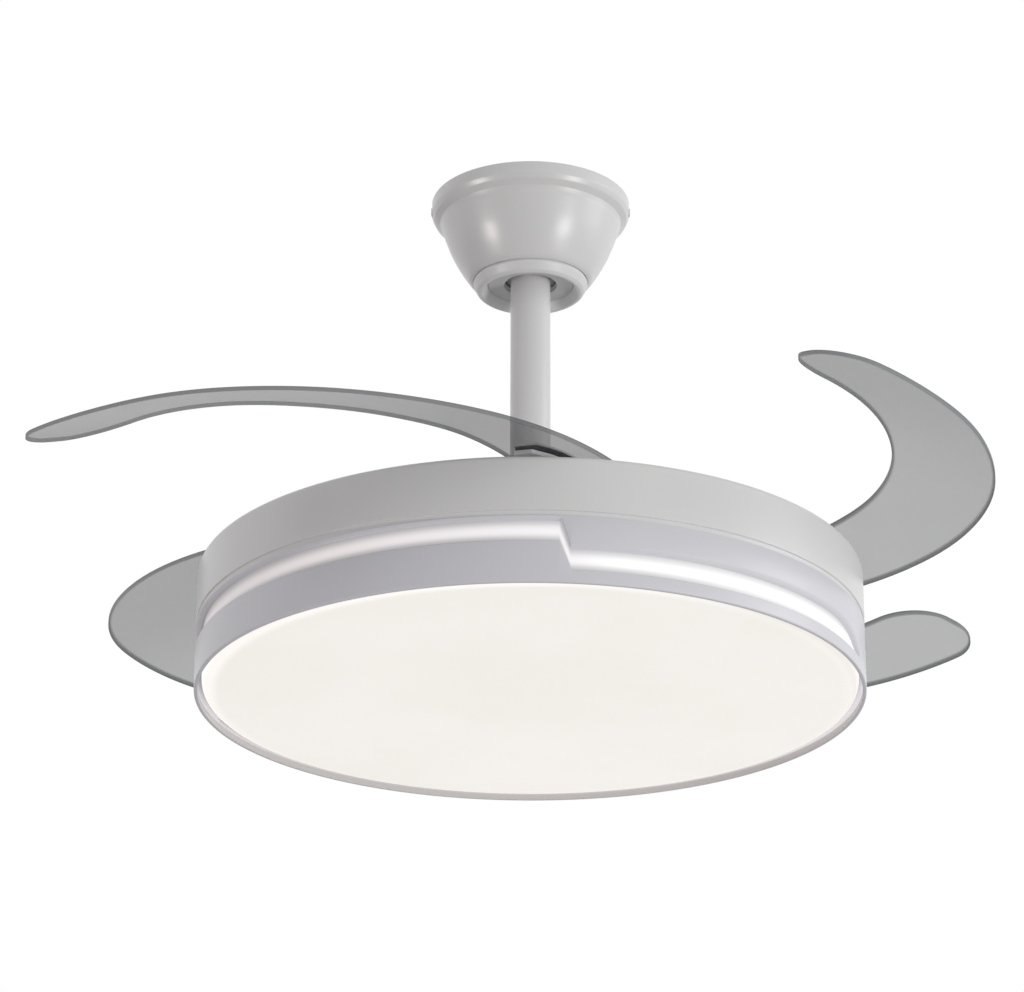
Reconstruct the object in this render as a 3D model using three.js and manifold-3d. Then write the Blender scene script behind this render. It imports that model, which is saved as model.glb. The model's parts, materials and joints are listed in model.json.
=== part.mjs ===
// Ceiling fan with four folding blades and a round lamp, hung on a short downrod.
// Millimetres, +Z up. The origin is the centre of the hanger bracket's top face, in the plane of the ceiling.
// -Y is the front of the lamp, where its side slot steps from the high run to the low run.
// The blades stand open, as they do while the fan turns.
import * as THREE from "three";
import { mergeVertices } from "three/addons/utils/BufferGeometryUtils.js";
import Module from "manifold-3d";

const wasm = await Module();
wasm.setup();

// ---- Overall ----
const ceilingDrop = 410; // ceiling to the lower edge of the lamp
const drumRadius = 250;
const bladeCount = 4;

// ---- Fits ----
const seatGap = 0.3; // between pieces that rest on each other
const runGap = 0.6; // between pieces that turn past each other
const bite = 0.5; // depth that joined shapes of one piece reach into each other

// ---- Canopy ----
const canopyRadius = 77.3;
const canopyHeight = 66.6;
const canopySheet = 1.6;
// Outer outline of the canopy from the ceiling down, as shares of its radius and of its height.
const canopyOutline = [
  [1, 0],
  [1, 0.135],
  [0.973, 0.195],
  [0.916, 0.246],
  [0.895, 0.315],
  [0.829, 0.525],
  [0.781, 0.653],
  [0.717, 0.796],
  [0.629, 0.953],
];
const canopyMouthShare = 0.58; // radius of the mouth, as a share of the canopy's radius
const trimSheet = 2;
const trimDepth = 9.4; // mouth of the canopy to the underside of the trim
const trimBand = 2; // upright edge of the trim under the mouth
const trimGrip = 3.2; // height of the trim inside the mouth
const trimLipInset = 6.8; // edge of the trim to the inside of its lower lip, along the radius
const trimLip = 1.6;
const trimRecess = 9; // depth of the recess round the rod
const trimRecessSlope = 5; // slant of the wall of the recess, along the radius
const trimBevelWidth = 3.8;
const trimBevelHeight = 1.6;
const canopyScrewDrop = 6;
const canopyScrewRadius = 2;
const canopyScrewHead = 3.4;
const canopyScrewHeadHeight = 0.5;
const canopyScrewGrip = 6; // shank past the face of the bracket's ear
const receiverLength = 92;
const receiverWidth = 52;
const receiverHeight = 16;
const receiverCorner = 3;
const terminalLength = 24;
const terminalWidth = 14;
const terminalHeight = 12;
const terminalInset = 24; // end of the bracket to the terminal block
const terminalPoles = 3;
const terminalEntryRadius = 2.2;

// ---- Downrod and coupling ----
const rodRadius = 15.5;
const rodWall = 1.6;
const rodRise = 3; // rod above the ball
const rodSwingRoom = 4.5; // rod to the hole of the trim
const couplingWall = 5.2;
const couplingEdge = 2; // bevel at the foot of the coupling
const couplingHeight = 30;
const couplingFloor = 10; // lower end of the coupling to the seat of the rod
const couplingLift = 3; // top of the motor to the coupling
const shaftSocket = 8; // depth that the shaft enters the coupling
const clevisPinRadius = 3;
const clevisPinHead = 5;
const clevisPinHeadSheet = 2;
const clevisPinTail = 4.7; // pin past the coupling on the side of the clip
const clevisPinRise = 9; // seat of the rod to the pin's axis
const clipWire = 0.9;
const clipRoom = 3; // coupling to the clip's axis
const clipRise = 9; // pin's axis to the bend of the clip
const clipEnd = 3; // clip below the pin
const clipSteps = 12;
const coverRadius = 52;
const coverHeight = 35;
const coverSheet = 1.8;
// Outer outline of the cover from its lower edge up to its throat, as shares of the way in and up.
const coverOutline = [
  [0, 0],
  [0.04, 0.3],
  [0.28, 0.66],
  [0.67, 0.92],
];
const coverThroatLand = 2; // flat top round the throat

// ---- Hanger bracket and ball ----
const bracketWidth = 38;
const bracketSteel = 2.5;
const earGap = 3.7; // canopy to the ears of the bracket
const earDrop = 13;
const earWidth = 24;
const legSpacing = 60; // between the inner faces of the two legs
const cradleMargin = 3; // cradle past the legs, front and back
const ballDrop = 42; // ceiling to the centre of the ball
const ballRadius = 22;
const ballEndMargin = 2; // rod to the rim of the ball's flat ends
const cradleRoom = 3; // rod to the hole of the cradle
const keyWidth = 5;
const keyHeight = 9;
const keySlotDepth = 4;
const ballPinRadius = 3;
const ballPinInset = 2; // surface of the ball to the ends of its pin
const wireHoleRadius = 5;
const wireHolePlace = 20;
const mountSlotLength = 14;
const mountSlotWidth = 6;
const mountSlotSpacing = 100;

// ---- Gears ----
const gearModule = 3;
const gearAddendum = 0.88; // heights of a tooth above and below the pitch line, in modules
const gearDedendum = 1.2;
const gearPressureAngle = 20;
const gearBacklash = 0.6;
const syncTeeth = 60;
const sectorTeeth = 26; // teeth of the full circle that the sector is part of
const sectorCut = 9; // teeth that the sector keeps
const sectorLead = 1.5; // teeth before the one that meshes when the blade is open
const gearThickness = 6;
const gearRim = 4.9; // timing gear inside its teeth
const gearSeatLip = 6.5; // flange of the motor that carries the timing gear
const gearSeatHeight = 2.5;

// ---- Motor ----
const motorBaseHeight = 25.3;
const motorTopHeight = 22;
const motorSheet = 2.5;
const motorShoulder = 8; // rounded edge of the motor's cap
const motorShoulderInset = 2;
const shaftRadius = 8.5;
const shaftBore = 5.5;
const shaftFoot = 18; // shaft below the top of the lamp housing
const bearingRadius = 20;
const bearingHeight = 12;
const pocketWall = 3;
const magnetThickness = 8;
const magnetHeight = 20;
const airGap = 1.2; // stator core to the magnets
const coreHeight = 14.5;
const coreTeeth = 12;
const coreYokeShare = 0.58; // radius at the root of the core's teeth, as a share of the core's
const coreShoe = 5; // thickness of the shoe at the end of a core tooth
// Half widths of a core tooth at its root, its neck and its shoe, in tooth pitches.
const coreRootHalf = 0.36;
const coreNeckHalf = 0.2;
const coreShoeHalf = 0.42;
const ventCount = 6;
const ventPlace = 48;
const ventLength = 24;
const ventWidth = 4;

// ---- Blade carrier ----
const carrierMargin = 21; // pivots to the edge of the carrier
const carrierSheet = 2.4;
const carrierLift = 4; // top of the lamp housing to the underside of the tray
const carrierHoleRadius = 12;
const carrierEdge = 1.5; // bevel at the edge of the cover
const lighteningHoleRadius = 16;
const lighteningHoleInset = 17; // circle of the pivots to the holes of the tray
const pivotAngle = -14; // first pivot, degrees from +X toward +Y
const pivotPinRadius = 4;
const pivotPinFoot = 6.2;
const pivotPinHead = 7;
const pivotPinHeadSheet = 2.4;
const springZone = 8.8; // height of the gap under the gears, where the springs lie
const bossRadius = 14;
const bossHeight = 12;
const coverClearance = 2.8; // boss to the carrier cover
const foldAngle = 86;

// ---- Return springs ----
const springRadius = 9;
const springWire = 0.6; // radius of the wire
const springTurns = 2.5;
const springPitch = 2.5;
const springLeg = 9;

// ---- Blades ----
const bladeInset = 2.5; // side of the drum to the outer edge of a folded blade
const bladeWidth = 74;
const bladeSheet = 3;
const bladeRoot = -6; // ends of the folded blade, degrees round the axis from its pivot
const bladeTip = -133.9;
const tipCorner = 33; // rounding of the tip on the outer edge
const tipSlopeLength = 53; // longer rounding of the tip on the inner edge
const tipSlopeWidth = 34;
const rootCorner = 12;
const bladeLift = 2.2; // tray to the outer edge at the root
const bladeClimb = 40; // rise of the blade's inner edge from root to tip
// Form of the blade by degrees from the pivot: heights of its two edges above the root's outer edge,
// as shares of the climb, and how far its outer edge draws in, as a share of its width.
const bladeForm = [
  { at: bladeRoot, outer: 0, inner: 0.238, drawn: 0 },
  { at: -34, outer: 0.038, inner: 0.459, drawn: 0 },
  { at: -52, outer: 0.06, inner: 0.524, drawn: 0 },
  { at: -72, outer: 0.125, inner: 0.613, drawn: 0.008 },
  { at: -92, outer: 0.213, inner: 0.745, drawn: 0.052 },
  { at: -112, outer: 0.28, inner: 0.87, drawn: 0.068 },
  { at: bladeTip, outer: 0.46, inner: 1, drawn: 0.02 },
];
const bladeSteps = 20; // stations of the full-width part
const bladeStrips = 1;

// ---- Blade arms and clamps ----
const armSheet = 3;
// Horn of the arm under the blade, by degrees from the pivot: places of its two edges,
// as shares of the way from the circle of the pivots to the outer edge of the blade.
const armHorn = [
  { at: 3, inner: -0.068, outer: 0.068 },
  { at: -1, inner: -0.084, outer: 0.194 },
  { at: -6, inner: -0.008, outer: 0.481 },
  { at: -10, inner: 0.143, outer: 0.7 },
  { at: -15, inner: 0.329, outer: 0.776 },
  { at: -20, inner: 0.439, outer: 0.734 },
  { at: -24, inner: 0.515, outer: 0.658 },
];
const armSteps = 8;
const padSheet = 0.8; // soft layer between the blade and what grips it
const clampSheet = 1.6;
const clampMargin = 4; // inner edge of the blade to the clamp
const clampInset = 1; // edge of the horn to the clamp
const clampStart = -8.5; // ends of the clamp, degrees from the pivot
const clampEnd = -23;
const clampSteps = 6;
const clampLeast = 4; // least width of the clamp
const studHoleLength = 40;
const studRadius = 1.8;
const studHeadRadius = 3.4;
const studHeadHeight = 1.4;
const studTail = 2; // stud below the arm
// Studs of the clamp: degrees from the pivot, and share of the blade's width from its outer edge.
const studPlaces = [
  { at: -11, across: 0.682 },
  { at: -20, across: 0.669 },
];

// ---- Lamp housing ----
const housingHeight = 44;
const housingSheet = 1.7;
const housingShoulder = 4;
const shoulderBow = 0.3; // place of the middle of a rounded edge, as a share of it
const shoulderWall = 0.6; // wall added inside the shoulder
const seamHeight = 3; // shadow seam under the upper band
const seamDepth = 1.3;
const lampFlange = 20; // width of the inner flanges of the housing and the ring
const lampFlangeSheet = 1.6;
const standoffCount = 4;
const standoffRadius = 4;
const standoffInset = 30; // edge of the LED board to the standoffs
const collarRadius = 16;
const collarHeight = 3.1;
const washerRadius = 30;
const washerSheet = 2;
const nutRadius = 14;
const nutHeight = 9;

// ---- Side ring ----
const ringHeight = 49.7;
const ringSheet = 2.2;
const rimSheet = 2.8;
const rimHeight = 6;
const rimSlope = 1.5; // slant inside the rim, up to the wall
const rimRound = 1.6; // rounded lower edge
const lipDepth = 4;
const lipSheet = 1.6;
const slotCount = 2;
const slotTopMargin = 4.1; // top of the ring to the high run of a slot
const slotFootMargin = 11; // lower edge of the lamp to the low run
const highSlotHeight = 13.6;
const lowSlotHeight = 14;
const highSlotStart = -98; // degrees from the front toward +X
const highSlotEnd = 3.65;
const lowSlotStart = 6.1;
const lowSlotEnd = 68.5;
const neckLand = 2; // lower edge of the neck before it meets the low run

// ---- Diffuser and lights ----
const diffuserGap = 1.5; // lips of the slots to the diffuser
const diffuserSheet = 2.5;
const diffuserLift = 2.2; // lower edge of the lamp to the face of the diffuser
const diffuserEdge = 9;
const diffuserFlange = 16;
const boardInset = 30; // side of the drum to the LED board
const boardSheet = 1.6;
const boardLift = 6; // above the housing's inner flange
const boardHoleRadius = 30;
const driverLength = 120;
const driverWidth = 46;
const driverHeight = 22;
const driverPlace = 95;
const driverEarLength = 4; // screw ears at the ends of the driver
const driverEarShare = 0.6; // their width, as a share of the driver's
const driverEarHeight = 6;

// ---- Facets ----
const drumFacets = 48;
const carrierFacets = 40;
const middleFacets = 32;
const smallFacets = 20;
const pinFacets = 12;
const holeFacets = 8;
const wireSides = 5;
const turnSteps = 8; // steps of one turn of a spring

// ---- Sizes that follow from the sizes above ----
const bracketLength = 2 * (canopyRadius - canopySheet - earGap);
const terminalPlace = bracketLength / 2 - terminalInset;
const canopyMouthRadius = canopyMouthShare * canopyRadius;
const trimDrop = canopyHeight + trimDepth;
const trimHoleRadius = rodRadius + rodSwingRoom;
const cradleHoleRadius = rodRadius + cradleRoom;
const keySlotRadius = ballRadius - keySlotDepth;
const ballHalfHeight = Math.sqrt(ballRadius ** 2 - (rodRadius + ballEndMargin) ** 2);
const rodBore = rodRadius + seatGap;
const couplingRadius = rodBore + couplingWall;
const timingPitchRadius = (gearModule * syncTeeth) / 2;
const motorRadius = timingPitchRadius - gearModule * gearDedendum - gearRim;
const coreRadius = motorRadius - motorSheet - seatGap - magnetThickness - airGap;
const pivotPlace = timingPitchRadius + (gearModule * sectorTeeth) / 2; // fan axis to the pivots
const carrierRadius = pivotPlace + carrierMargin;
const bladeOuterRadius = drumRadius - bladeInset; // measured on the folded blade, from the fan's axis
const bladeInnerRadius = bladeOuterRadius - bladeWidth;
const diffuserRadius = drumRadius - lipDepth - diffuserGap;
const boardRadius = drumRadius - boardInset;
const standoffPlace = boardRadius - standoffInset;
const lampFlangeInner = drumRadius - seamDepth - ringSheet - lampFlange;
const highSlotTop = ringHeight - slotTopMargin; // heights above the lower edge of the lamp
const highSlotBottom = highSlotTop - highSlotHeight;
const lowSlotBottom = slotFootMargin;
const lowSlotTop = lowSlotBottom + lowSlotHeight;

// ---- Heights that follow, in the frame of the fan ----
const lampBottom = -ceilingDrop;
const ringTop = lampBottom + ringHeight;
const housingBottom = ringTop + seatGap;
const housingTop = housingBottom + housingHeight;
const trayBottom = housingTop + carrierLift;
const trayTop = trayBottom + carrierSheet;
const gearBottom = trayTop + springZone;
const gearTop = gearBottom + gearThickness;
const bossTop = gearBottom + bossHeight;
const carrierCoverBottom = bossTop + coverClearance;
const carrierCoverTop = carrierCoverBottom + carrierSheet;
const motorBottom = trayTop + seatGap;
const motorSplit = motorBottom + motorBaseHeight;
const motorTop = motorSplit + seatGap + motorTopHeight;
const couplingBottom = motorTop + couplingLift;
const rodBottom = couplingBottom + couplingFloor + seatGap;
const clevisHeight = rodBottom + clevisPinRise;
const rodTop = -ballDrop + ballHalfHeight + rodRise;
const cradleTop = -ballDrop - Math.sqrt((ballRadius + seatGap) ** 2 - cradleHoleRadius ** 2);
const bladeBase = trayTop + bladeLift;
const boardTop = housingBottom + lampFlangeSheet + boardLift + boardSheet;
const armTop = -bladeSheet / 2 - padSheet; // of the horn, from the middle of the blade's sheet
const lowerBearingBottom = motorBottom + motorSheet + runGap;
const upperBearingBottom = motorTop - motorSheet - runGap - bearingHeight;
const coreMiddle = (lowerBearingBottom + upperBearingBottom + bearingHeight) / 2;

// ---- Materials ----
const white = finish(0xd9d9d8, 0.38, 0.0);
const ringWhite = finish(0xcfced6, 0.42, 0.0);
const plastic = finish(0xe6e6e2, 0.5, 0.0);
const acrylic = finish(0xb2b4b6, 0.2, 0.0);
const opal = finish(0xf6f4ef, 0.45, 0.0);
const steel = finish(0x9a9ca0, 0.35, 0.9);
const castMetal = finish(0xb0b0b0, 0.45, 0.7);
const nylon = finish(0xe9e7dd, 0.55, 0.0);
const copper = finish(0xb5713c, 0.4, 0.6);
const darkPlastic = finish(0x2e2f31, 0.55, 0.0);
const boardWhite = finish(0xf0f0ee, 0.6, 0.0);

function finish(color, roughness, metalness) {
  return new THREE.MeshStandardMaterial({ color, roughness, metalness });
}

// ---- Solids ----

// A closed three.js geometry as a solid with its faces outward.
function solid(geometry) {
  const bare = geometry.index ? geometry.toNonIndexed() : geometry.clone();
  bare.deleteAttribute("normal");
  bare.deleteAttribute("uv");
  const merged = mergeVertices(bare, 1e-4);
  const place = merged.attributes.position;
  const corners = [];
  let volume = 0;
  for (let i = 0; i < merged.index.count; i += 3) {
    const [a, b, c] = [0, 1, 2].map((step) => merged.index.getX(i + step));
    if (a === b || b === c || c === a) {
      continue;
    }
    const [p, q, r] = [a, b, c].map((n) => new THREE.Vector3().fromBufferAttribute(place, n));
    volume += p.dot(q.cross(r));
    corners.push([a, b, c]);
  }
  const triVerts = new Uint32Array(corners.flatMap(([a, b, c]) => (volume < 0 ? [a, c, b] : [a, b, c])));
  const vertProperties = new Float32Array(place.array);
  return new wasm.Manifold(new wasm.Mesh({ numProp: 3, vertProperties, triVerts }));
}

function geometryOf(body) {
  const mesh = body.getMesh();
  const geometry = new THREE.BufferGeometry();
  geometry.setAttribute("position", new THREE.BufferAttribute(new Float32Array(mesh.vertProperties), 3));
  geometry.setIndex(new THREE.BufferAttribute(new Uint32Array(mesh.triVerts), 1));
  geometry.computeVertexNormals();
  return geometry;
}

// A ring or disc turned about Z from a closed outline of [radius, height] points.
function turned(outline, facets) {
  const points = [...outline, outline[0]].map(([radius, height]) => new THREE.Vector2(radius, height));
  const lathe = new THREE.LatheGeometry(points, facets);
  lathe.rotateX(Math.PI / 2);
  return solid(lathe);
}

function tube(inner, outer, bottom, top, facets) {
  const outline = [
    [inner, bottom],
    [outer, bottom],
    [outer, top],
    [inner, top],
  ];
  return turned(outline, facets);
}

// A round bar along X, Y or Z, given its middle.
function bar(radius, length, axis, middle, facets) {
  const cylinder = new THREE.CylinderGeometry(radius, radius, length, facets);
  if (axis === "x") {
    cylinder.rotateZ(Math.PI / 2);
  }
  if (axis === "z") {
    cylinder.rotateX(Math.PI / 2);
  }
  cylinder.translate(...middle);
  return solid(cylinder);
}

function block(size, middle) {
  const box = new THREE.BoxGeometry(...size);
  box.translate(...middle);
  return solid(box);
}

// A flat outline of [x, y] points raised from bottom to top.
function plate(outline, bottom, top) {
  const shape = new THREE.Shape(outline.map(([x, y]) => new THREE.Vector2(x, y)));
  const raised = new THREE.ExtrudeGeometry(shape, { depth: top - bottom, bevelEnabled: false });
  raised.translate(0, 0, bottom);
  return solid(raised);
}

function radians(degrees) {
  return (degrees * Math.PI) / 180;
}

function polar(radius, degrees) {
  return [radius * Math.cos(radians(degrees)), radius * Math.sin(radians(degrees))];
}

function joined(bodies) {
  return bodies.reduce((whole, body) => whole.add(body));
}

function cutBy(body, tools) {
  return tools.reduce((rest, tool) => rest.subtract(tool), body);
}

// Value of a table at a place between its rows, along a smooth curve through them.
function along(rows, key, at) {
  let row = 0;
  while (row < rows.length - 2 && at < rows[row + 1].at) {
    row += 1;
  }
  const [before, start] = [rows[Math.max(row - 1, 0)], rows[row]];
  const [end, after] = [rows[row + 1], rows[Math.min(row + 2, rows.length - 1)]];
  const span = end.at - start.at;
  const share = (at - start.at) / span;
  const slopeStart = ((end[key] - before[key]) / (end.at - before.at)) * span;
  const slopeEnd = ((after[key] - start[key]) / (after.at - start.at)) * span;
  const square = share * share;
  const cube = square * share;
  return (
    (2 * cube - 3 * square + 1) * start[key] +
    (cube - 2 * square + share) * slopeStart +
    (3 * square - 2 * cube) * end[key] +
    (cube - square) * slopeEnd
  );
}

// ---- Hanger bracket, canopy and what lies inside it ----

function hangerBracket() {
  const earX = bracketLength / 2;
  const legX = (legSpacing + bracketSteel) / 2;
  const cradleBottom = cradleTop - bracketSteel;
  const top = block([bracketLength, bracketWidth, bracketSteel], [0, 0, -bracketSteel / 2]);
  const ears = [-1, 1].map((side) =>
    block([bracketSteel, earWidth, earDrop], [side * (earX - bracketSteel / 2), 0, -earDrop / 2]),
  );
  const legs = [-1, 1].map((side) =>
    block([bracketSteel, bracketWidth, -cradleBottom], [side * legX, 0, cradleBottom / 2]),
  );
  const cradleWidth = legSpacing + 2 * bracketSteel;
  const cradleDepth = bracketWidth + 2 * cradleMargin;
  const cradle = block([cradleWidth, cradleDepth, bracketSteel], [0, 0, cradleTop - bracketSteel / 2]);
  const keyPlace = -(ballRadius + keySlotRadius) / 2 - bracketSteel / 2;
  const key = block([keyWidth, bracketSteel, keyHeight], [0, keyPlace, cradleTop + keyHeight / 2 - bite]);
  const whole = joined([top, ...ears, ...legs, cradle, key]);
  const mouthWidth = 2 * (rodRadius + runGap);
  const mouth = block([mouthWidth, bracketWidth, 4 * bracketSteel], [0, bracketWidth / 2, cradleTop]);
  const hole = bar(cradleHoleRadius, 4 * bracketSteel, "z", [0, 0, cradleTop], smallFacets);
  const wireHoles = [-1, 1].map((side) =>
    bar(wireHoleRadius, 3 * bracketSteel, "z", [side * wireHolePlace, 0, -bracketSteel], holeFacets),
  );
  const slots = [-1, 1].map((side) => mountSlot((side * mountSlotSpacing) / 2));
  const screwHoles = [-1, 1].map((side) =>
    bar(canopyScrewRadius + seatGap, 6 * bracketSteel, "x", [side * earX, 0, -canopyScrewDrop], holeFacets),
  );
  return cutBy(whole, [hole, mouth, ...wireHoles, ...slots, ...screwHoles]);
}

function mountSlot(x) {
  const half = (mountSlotLength - mountSlotWidth) / 2;
  const middle = block([mountSlotWidth, 2 * half, 3 * bracketSteel], [x, 0, -bracketSteel]);
  const ends = [-1, 1].map((side) =>
    bar(mountSlotWidth / 2, 3 * bracketSteel, "z", [x, side * half, -bracketSteel], holeFacets),
  );
  return joined([middle, ...ends]);
}

function canopy() {
  const outer = canopyOutline.map(([out, down]) => [out * canopyRadius, -down * canopyHeight]);
  const inner = outer
    .filter((_, n) => n % 2 === 0)
    .map(([radius, height]) => [radius - canopySheet, height])
    .reverse();
  const mouth = [
    [canopyMouthRadius, -canopyHeight],
    [canopyMouthRadius, -canopyHeight + canopySheet],
  ];
  const shell = turned([...outer, ...mouth, ...inner], middleFacets);
  const holes = [-1, 1].map((side) => {
    const middle = [side * canopyRadius, 0, -canopyScrewDrop];
    return bar(canopyScrewRadius + seatGap, 8 * canopySheet, "x", middle, holeFacets);
  });
  return cutBy(shell, holes);
}

function canopyTrim() {
  const edge = canopyMouthRadius - seatGap;
  const lip = edge - trimLipInset;
  const ceiling = -trimDrop + trimRecess;
  const bandFoot = -canopyHeight - trimBand;
  const gripTop = -canopyHeight + trimGrip;
  const outline = [
    [trimHoleRadius, ceiling],
    [lip - trimRecessSlope, ceiling],
    [lip, -trimDrop],
    [lip + trimLip, -trimDrop],
    [lip + trimBevelWidth, -trimDrop + trimBevelHeight],
    [edge, bandFoot],
    [edge, gripTop],
    [edge - trimSheet, gripTop],
    [edge - trimSheet, bandFoot],
    [lip + trimLip, -trimDrop + trimSheet],
    [lip - trimRecessSlope + trimSheet, ceiling + trimSheet],
    [trimHoleRadius, ceiling + trimSheet],
  ];
  return turned(outline, middleFacets);
}

function canopyScrew(side) {
  const shankLength = canopyRadius - bracketLength / 2 + canopyScrewGrip;
  const headPlace = (shankLength + canopyScrewHeadHeight) / 2 - canopyScrewHeadHeight / 8;
  const shank = bar(canopyScrewRadius, shankLength, "x", [0, 0, 0], holeFacets);
  const head = bar(canopyScrewHead, canopyScrewHeadHeight, "x", [headPlace, 0, 0], holeFacets);
  const screw = shank.add(head);
  const middle = canopyRadius + seatGap - shankLength / 2;
  return side > 0
    ? screw.translate([middle, 0, -canopyScrewDrop])
    : screw.rotate([0, 0, 180]).translate([-middle, 0, -canopyScrewDrop]);
}

function remoteReceiver() {
  const middle = -bracketSteel - seatGap - receiverHeight / 2;
  const box = new THREE.Shape();
  const [w, h, round] = [receiverWidth / 2, receiverHeight / 2, receiverCorner];
  box.moveTo(-w + round, -h);
  box.lineTo(w - round, -h);
  box.quadraticCurveTo(w, -h, w, -h + round);
  box.lineTo(w, h - round);
  box.quadraticCurveTo(w, h, w - round, h);
  box.lineTo(-w + round, h);
  box.quadraticCurveTo(-w, h, -w, h - round);
  box.lineTo(-w, -h + round);
  box.quadraticCurveTo(-w, -h, -w + round, -h);
  const settings = { depth: receiverLength, bevelEnabled: false, curveSegments: 3 };
  const body = new THREE.ExtrudeGeometry(box, settings);
  body.translate(0, 0, -receiverLength / 2);
  body.rotateX(Math.PI / 2);
  body.translate(0, 0, middle);
  return solid(body);
}

function terminalBlock() {
  const middle = -bracketSteel - seatGap - terminalHeight / 2;
  const body = block([terminalWidth, terminalLength, terminalHeight], [terminalPlace, 0, middle]);
  const pitch = terminalLength / terminalPoles;
  const entries = [...Array(terminalPoles).keys()].map((pole) => {
    const y = (pole - (terminalPoles - 1) / 2) * pitch;
    return bar(terminalEntryRadius, 2 * terminalWidth, "x", [terminalPlace, y, middle], holeFacets);
  });
  return cutBy(body, entries);
}

// ---- Ball, downrod and coupling ----

function hangerBall() {
  const rings = 4;
  const half = ballHalfHeight;
  const outside = [...Array(rings + 1).keys()].map((ring) => {
    const rise = -half + (2 * half * ring) / rings;
    return [Math.sqrt(ballRadius ** 2 - rise ** 2), rise - ballDrop];
  });
  const band = turned([[rodBore, -half - ballDrop], ...outside, [rodBore, half - ballDrop]], smallFacets);
  const slotMiddle = -keySlotRadius - keySlotDepth;
  const slot = block([keyWidth + 2 * runGap, 2 * keySlotDepth, 3 * half], [0, slotMiddle, -ballDrop]);
  const pinHole = bar(ballPinRadius + seatGap, 4 * ballRadius, "x", [0, 0, -ballDrop], holeFacets);
  return cutBy(band, [slot, pinHole]);
}

function ballPin() {
  return bar(ballPinRadius, 2 * (ballRadius - ballPinInset), "x", [0, 0, -ballDrop], holeFacets);
}

function downrod() {
  const pipe = tube(rodRadius - rodWall, rodRadius, rodBottom, rodTop, smallFacets);
  const ballHole = bar(ballPinRadius + seatGap, 4 * rodRadius, "x", [0, 0, -ballDrop], holeFacets);
  const pinHole = bar(clevisPinRadius + seatGap, 4 * rodRadius, "x", [0, 0, clevisHeight], holeFacets);
  return cutBy(pipe, [ballHole, pinHole]);
}

function shaftCoupling() {
  const floor = rodBottom - seatGap;
  const top = couplingBottom + couplingHeight;
  const shaftHole = shaftRadius + seatGap;
  const outline = [
    [shaftHole, couplingBottom],
    [couplingRadius - couplingEdge, couplingBottom],
    [couplingRadius, couplingBottom + couplingEdge],
    [couplingRadius, top],
    [rodBore, top],
    [rodBore, floor],
    [shaftBore, floor],
    [shaftBore, couplingBottom + shaftSocket],
    [shaftHole, couplingBottom + shaftSocket],
  ];
  const body = turned(outline, smallFacets);
  const pinHole = bar(clevisPinRadius + seatGap, 4 * couplingRadius, "x", [0, 0, clevisHeight], holeFacets);
  return cutBy(body, [pinHole]);
}

function clevisPin() {
  const headFoot = couplingRadius + seatGap;
  const tail = -couplingRadius - clevisPinTail;
  const shankMiddle = (headFoot + bite + tail) / 2;
  const shankLength = headFoot + bite - tail;
  const shank = bar(clevisPinRadius, shankLength, "x", [shankMiddle, 0, clevisHeight], holeFacets);
  const headMiddle = [headFoot + clevisPinHeadSheet / 2, 0, clevisHeight];
  const head = bar(clevisPinHead, clevisPinHeadSheet, "x", headMiddle, holeFacets);
  const holeMiddle = [-couplingRadius - clipRoom, 0, clevisHeight];
  const clipHole = bar(clipWire + runGap, 4 * clevisPinRadius, "z", holeMiddle, holeFacets);
  return cutBy(shank.add(head), [clipHole]);
}

// Hairpin of spring wire: one straight leg through the pin, the other bent round it.
function clevisClip() {
  const x = -couplingRadius - clipRoom;
  const z = clevisHeight;
  const side = clevisPinRadius + clipWire + seatGap;
  const bend = z + clipRise;
  const points = [
    [x, 0, z - clevisPinRadius - clipEnd],
    [x, 0, bend - 4],
    [x, side * 0.7, bend - 1],
    [x, side * 1.5, bend],
    [x, side * 1.8, bend - 3],
    [x, side, z],
    [x, side * 1.3, z - clevisPinRadius - clipEnd + 1],
  ];
  const path = new THREE.CatmullRomCurve3(points.map((point) => new THREE.Vector3(...point)));
  return wireAlong(path, clipWire, clipSteps);
}

// A round wire along a path.
function wireAlong(path, radius, steps) {
  const corners = [...Array(wireSides).keys()].map((side) => polar(radius, (360 * side) / wireSides));
  const section = new THREE.Shape(corners.map(([x, y]) => new THREE.Vector2(x, y)));
  return solid(new THREE.ExtrudeGeometry(section, { steps, extrudePath: path, bevelEnabled: false }));
}

function couplingCover() {
  const throat = rodRadius + runGap;
  const way = coverRadius - throat;
  const outer = coverOutline.map(([inward, up]) => [
    coverRadius - inward * way,
    couplingBottom + up * coverHeight,
  ]);
  const top = couplingBottom + coverHeight;
  const crown = [
    [throat + coverThroatLand, top],
    [throat, top],
    [throat, top - coverSheet],
  ];
  const inner = outer
    .slice(2)
    .map(([radius, height]) => [radius - coverSheet / 2, height - coverSheet])
    .reverse();
  const foot = [[coverRadius - coverSheet, couplingBottom]];
  return turned([...outer, ...crown, ...inner, ...foot], smallFacets);
}

// ---- Motor ----

function statorShaft() {
  const top = couplingBottom + shaftSocket - seatGap;
  return tube(shaftBore, shaftRadius, housingTop - shaftFoot, top, pinFacets);
}

function bearing(bottom) {
  const bore = shaftRadius + seatGap;
  return tube(bore, bearingRadius, bottom, bottom + bearingHeight, smallFacets);
}

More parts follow.
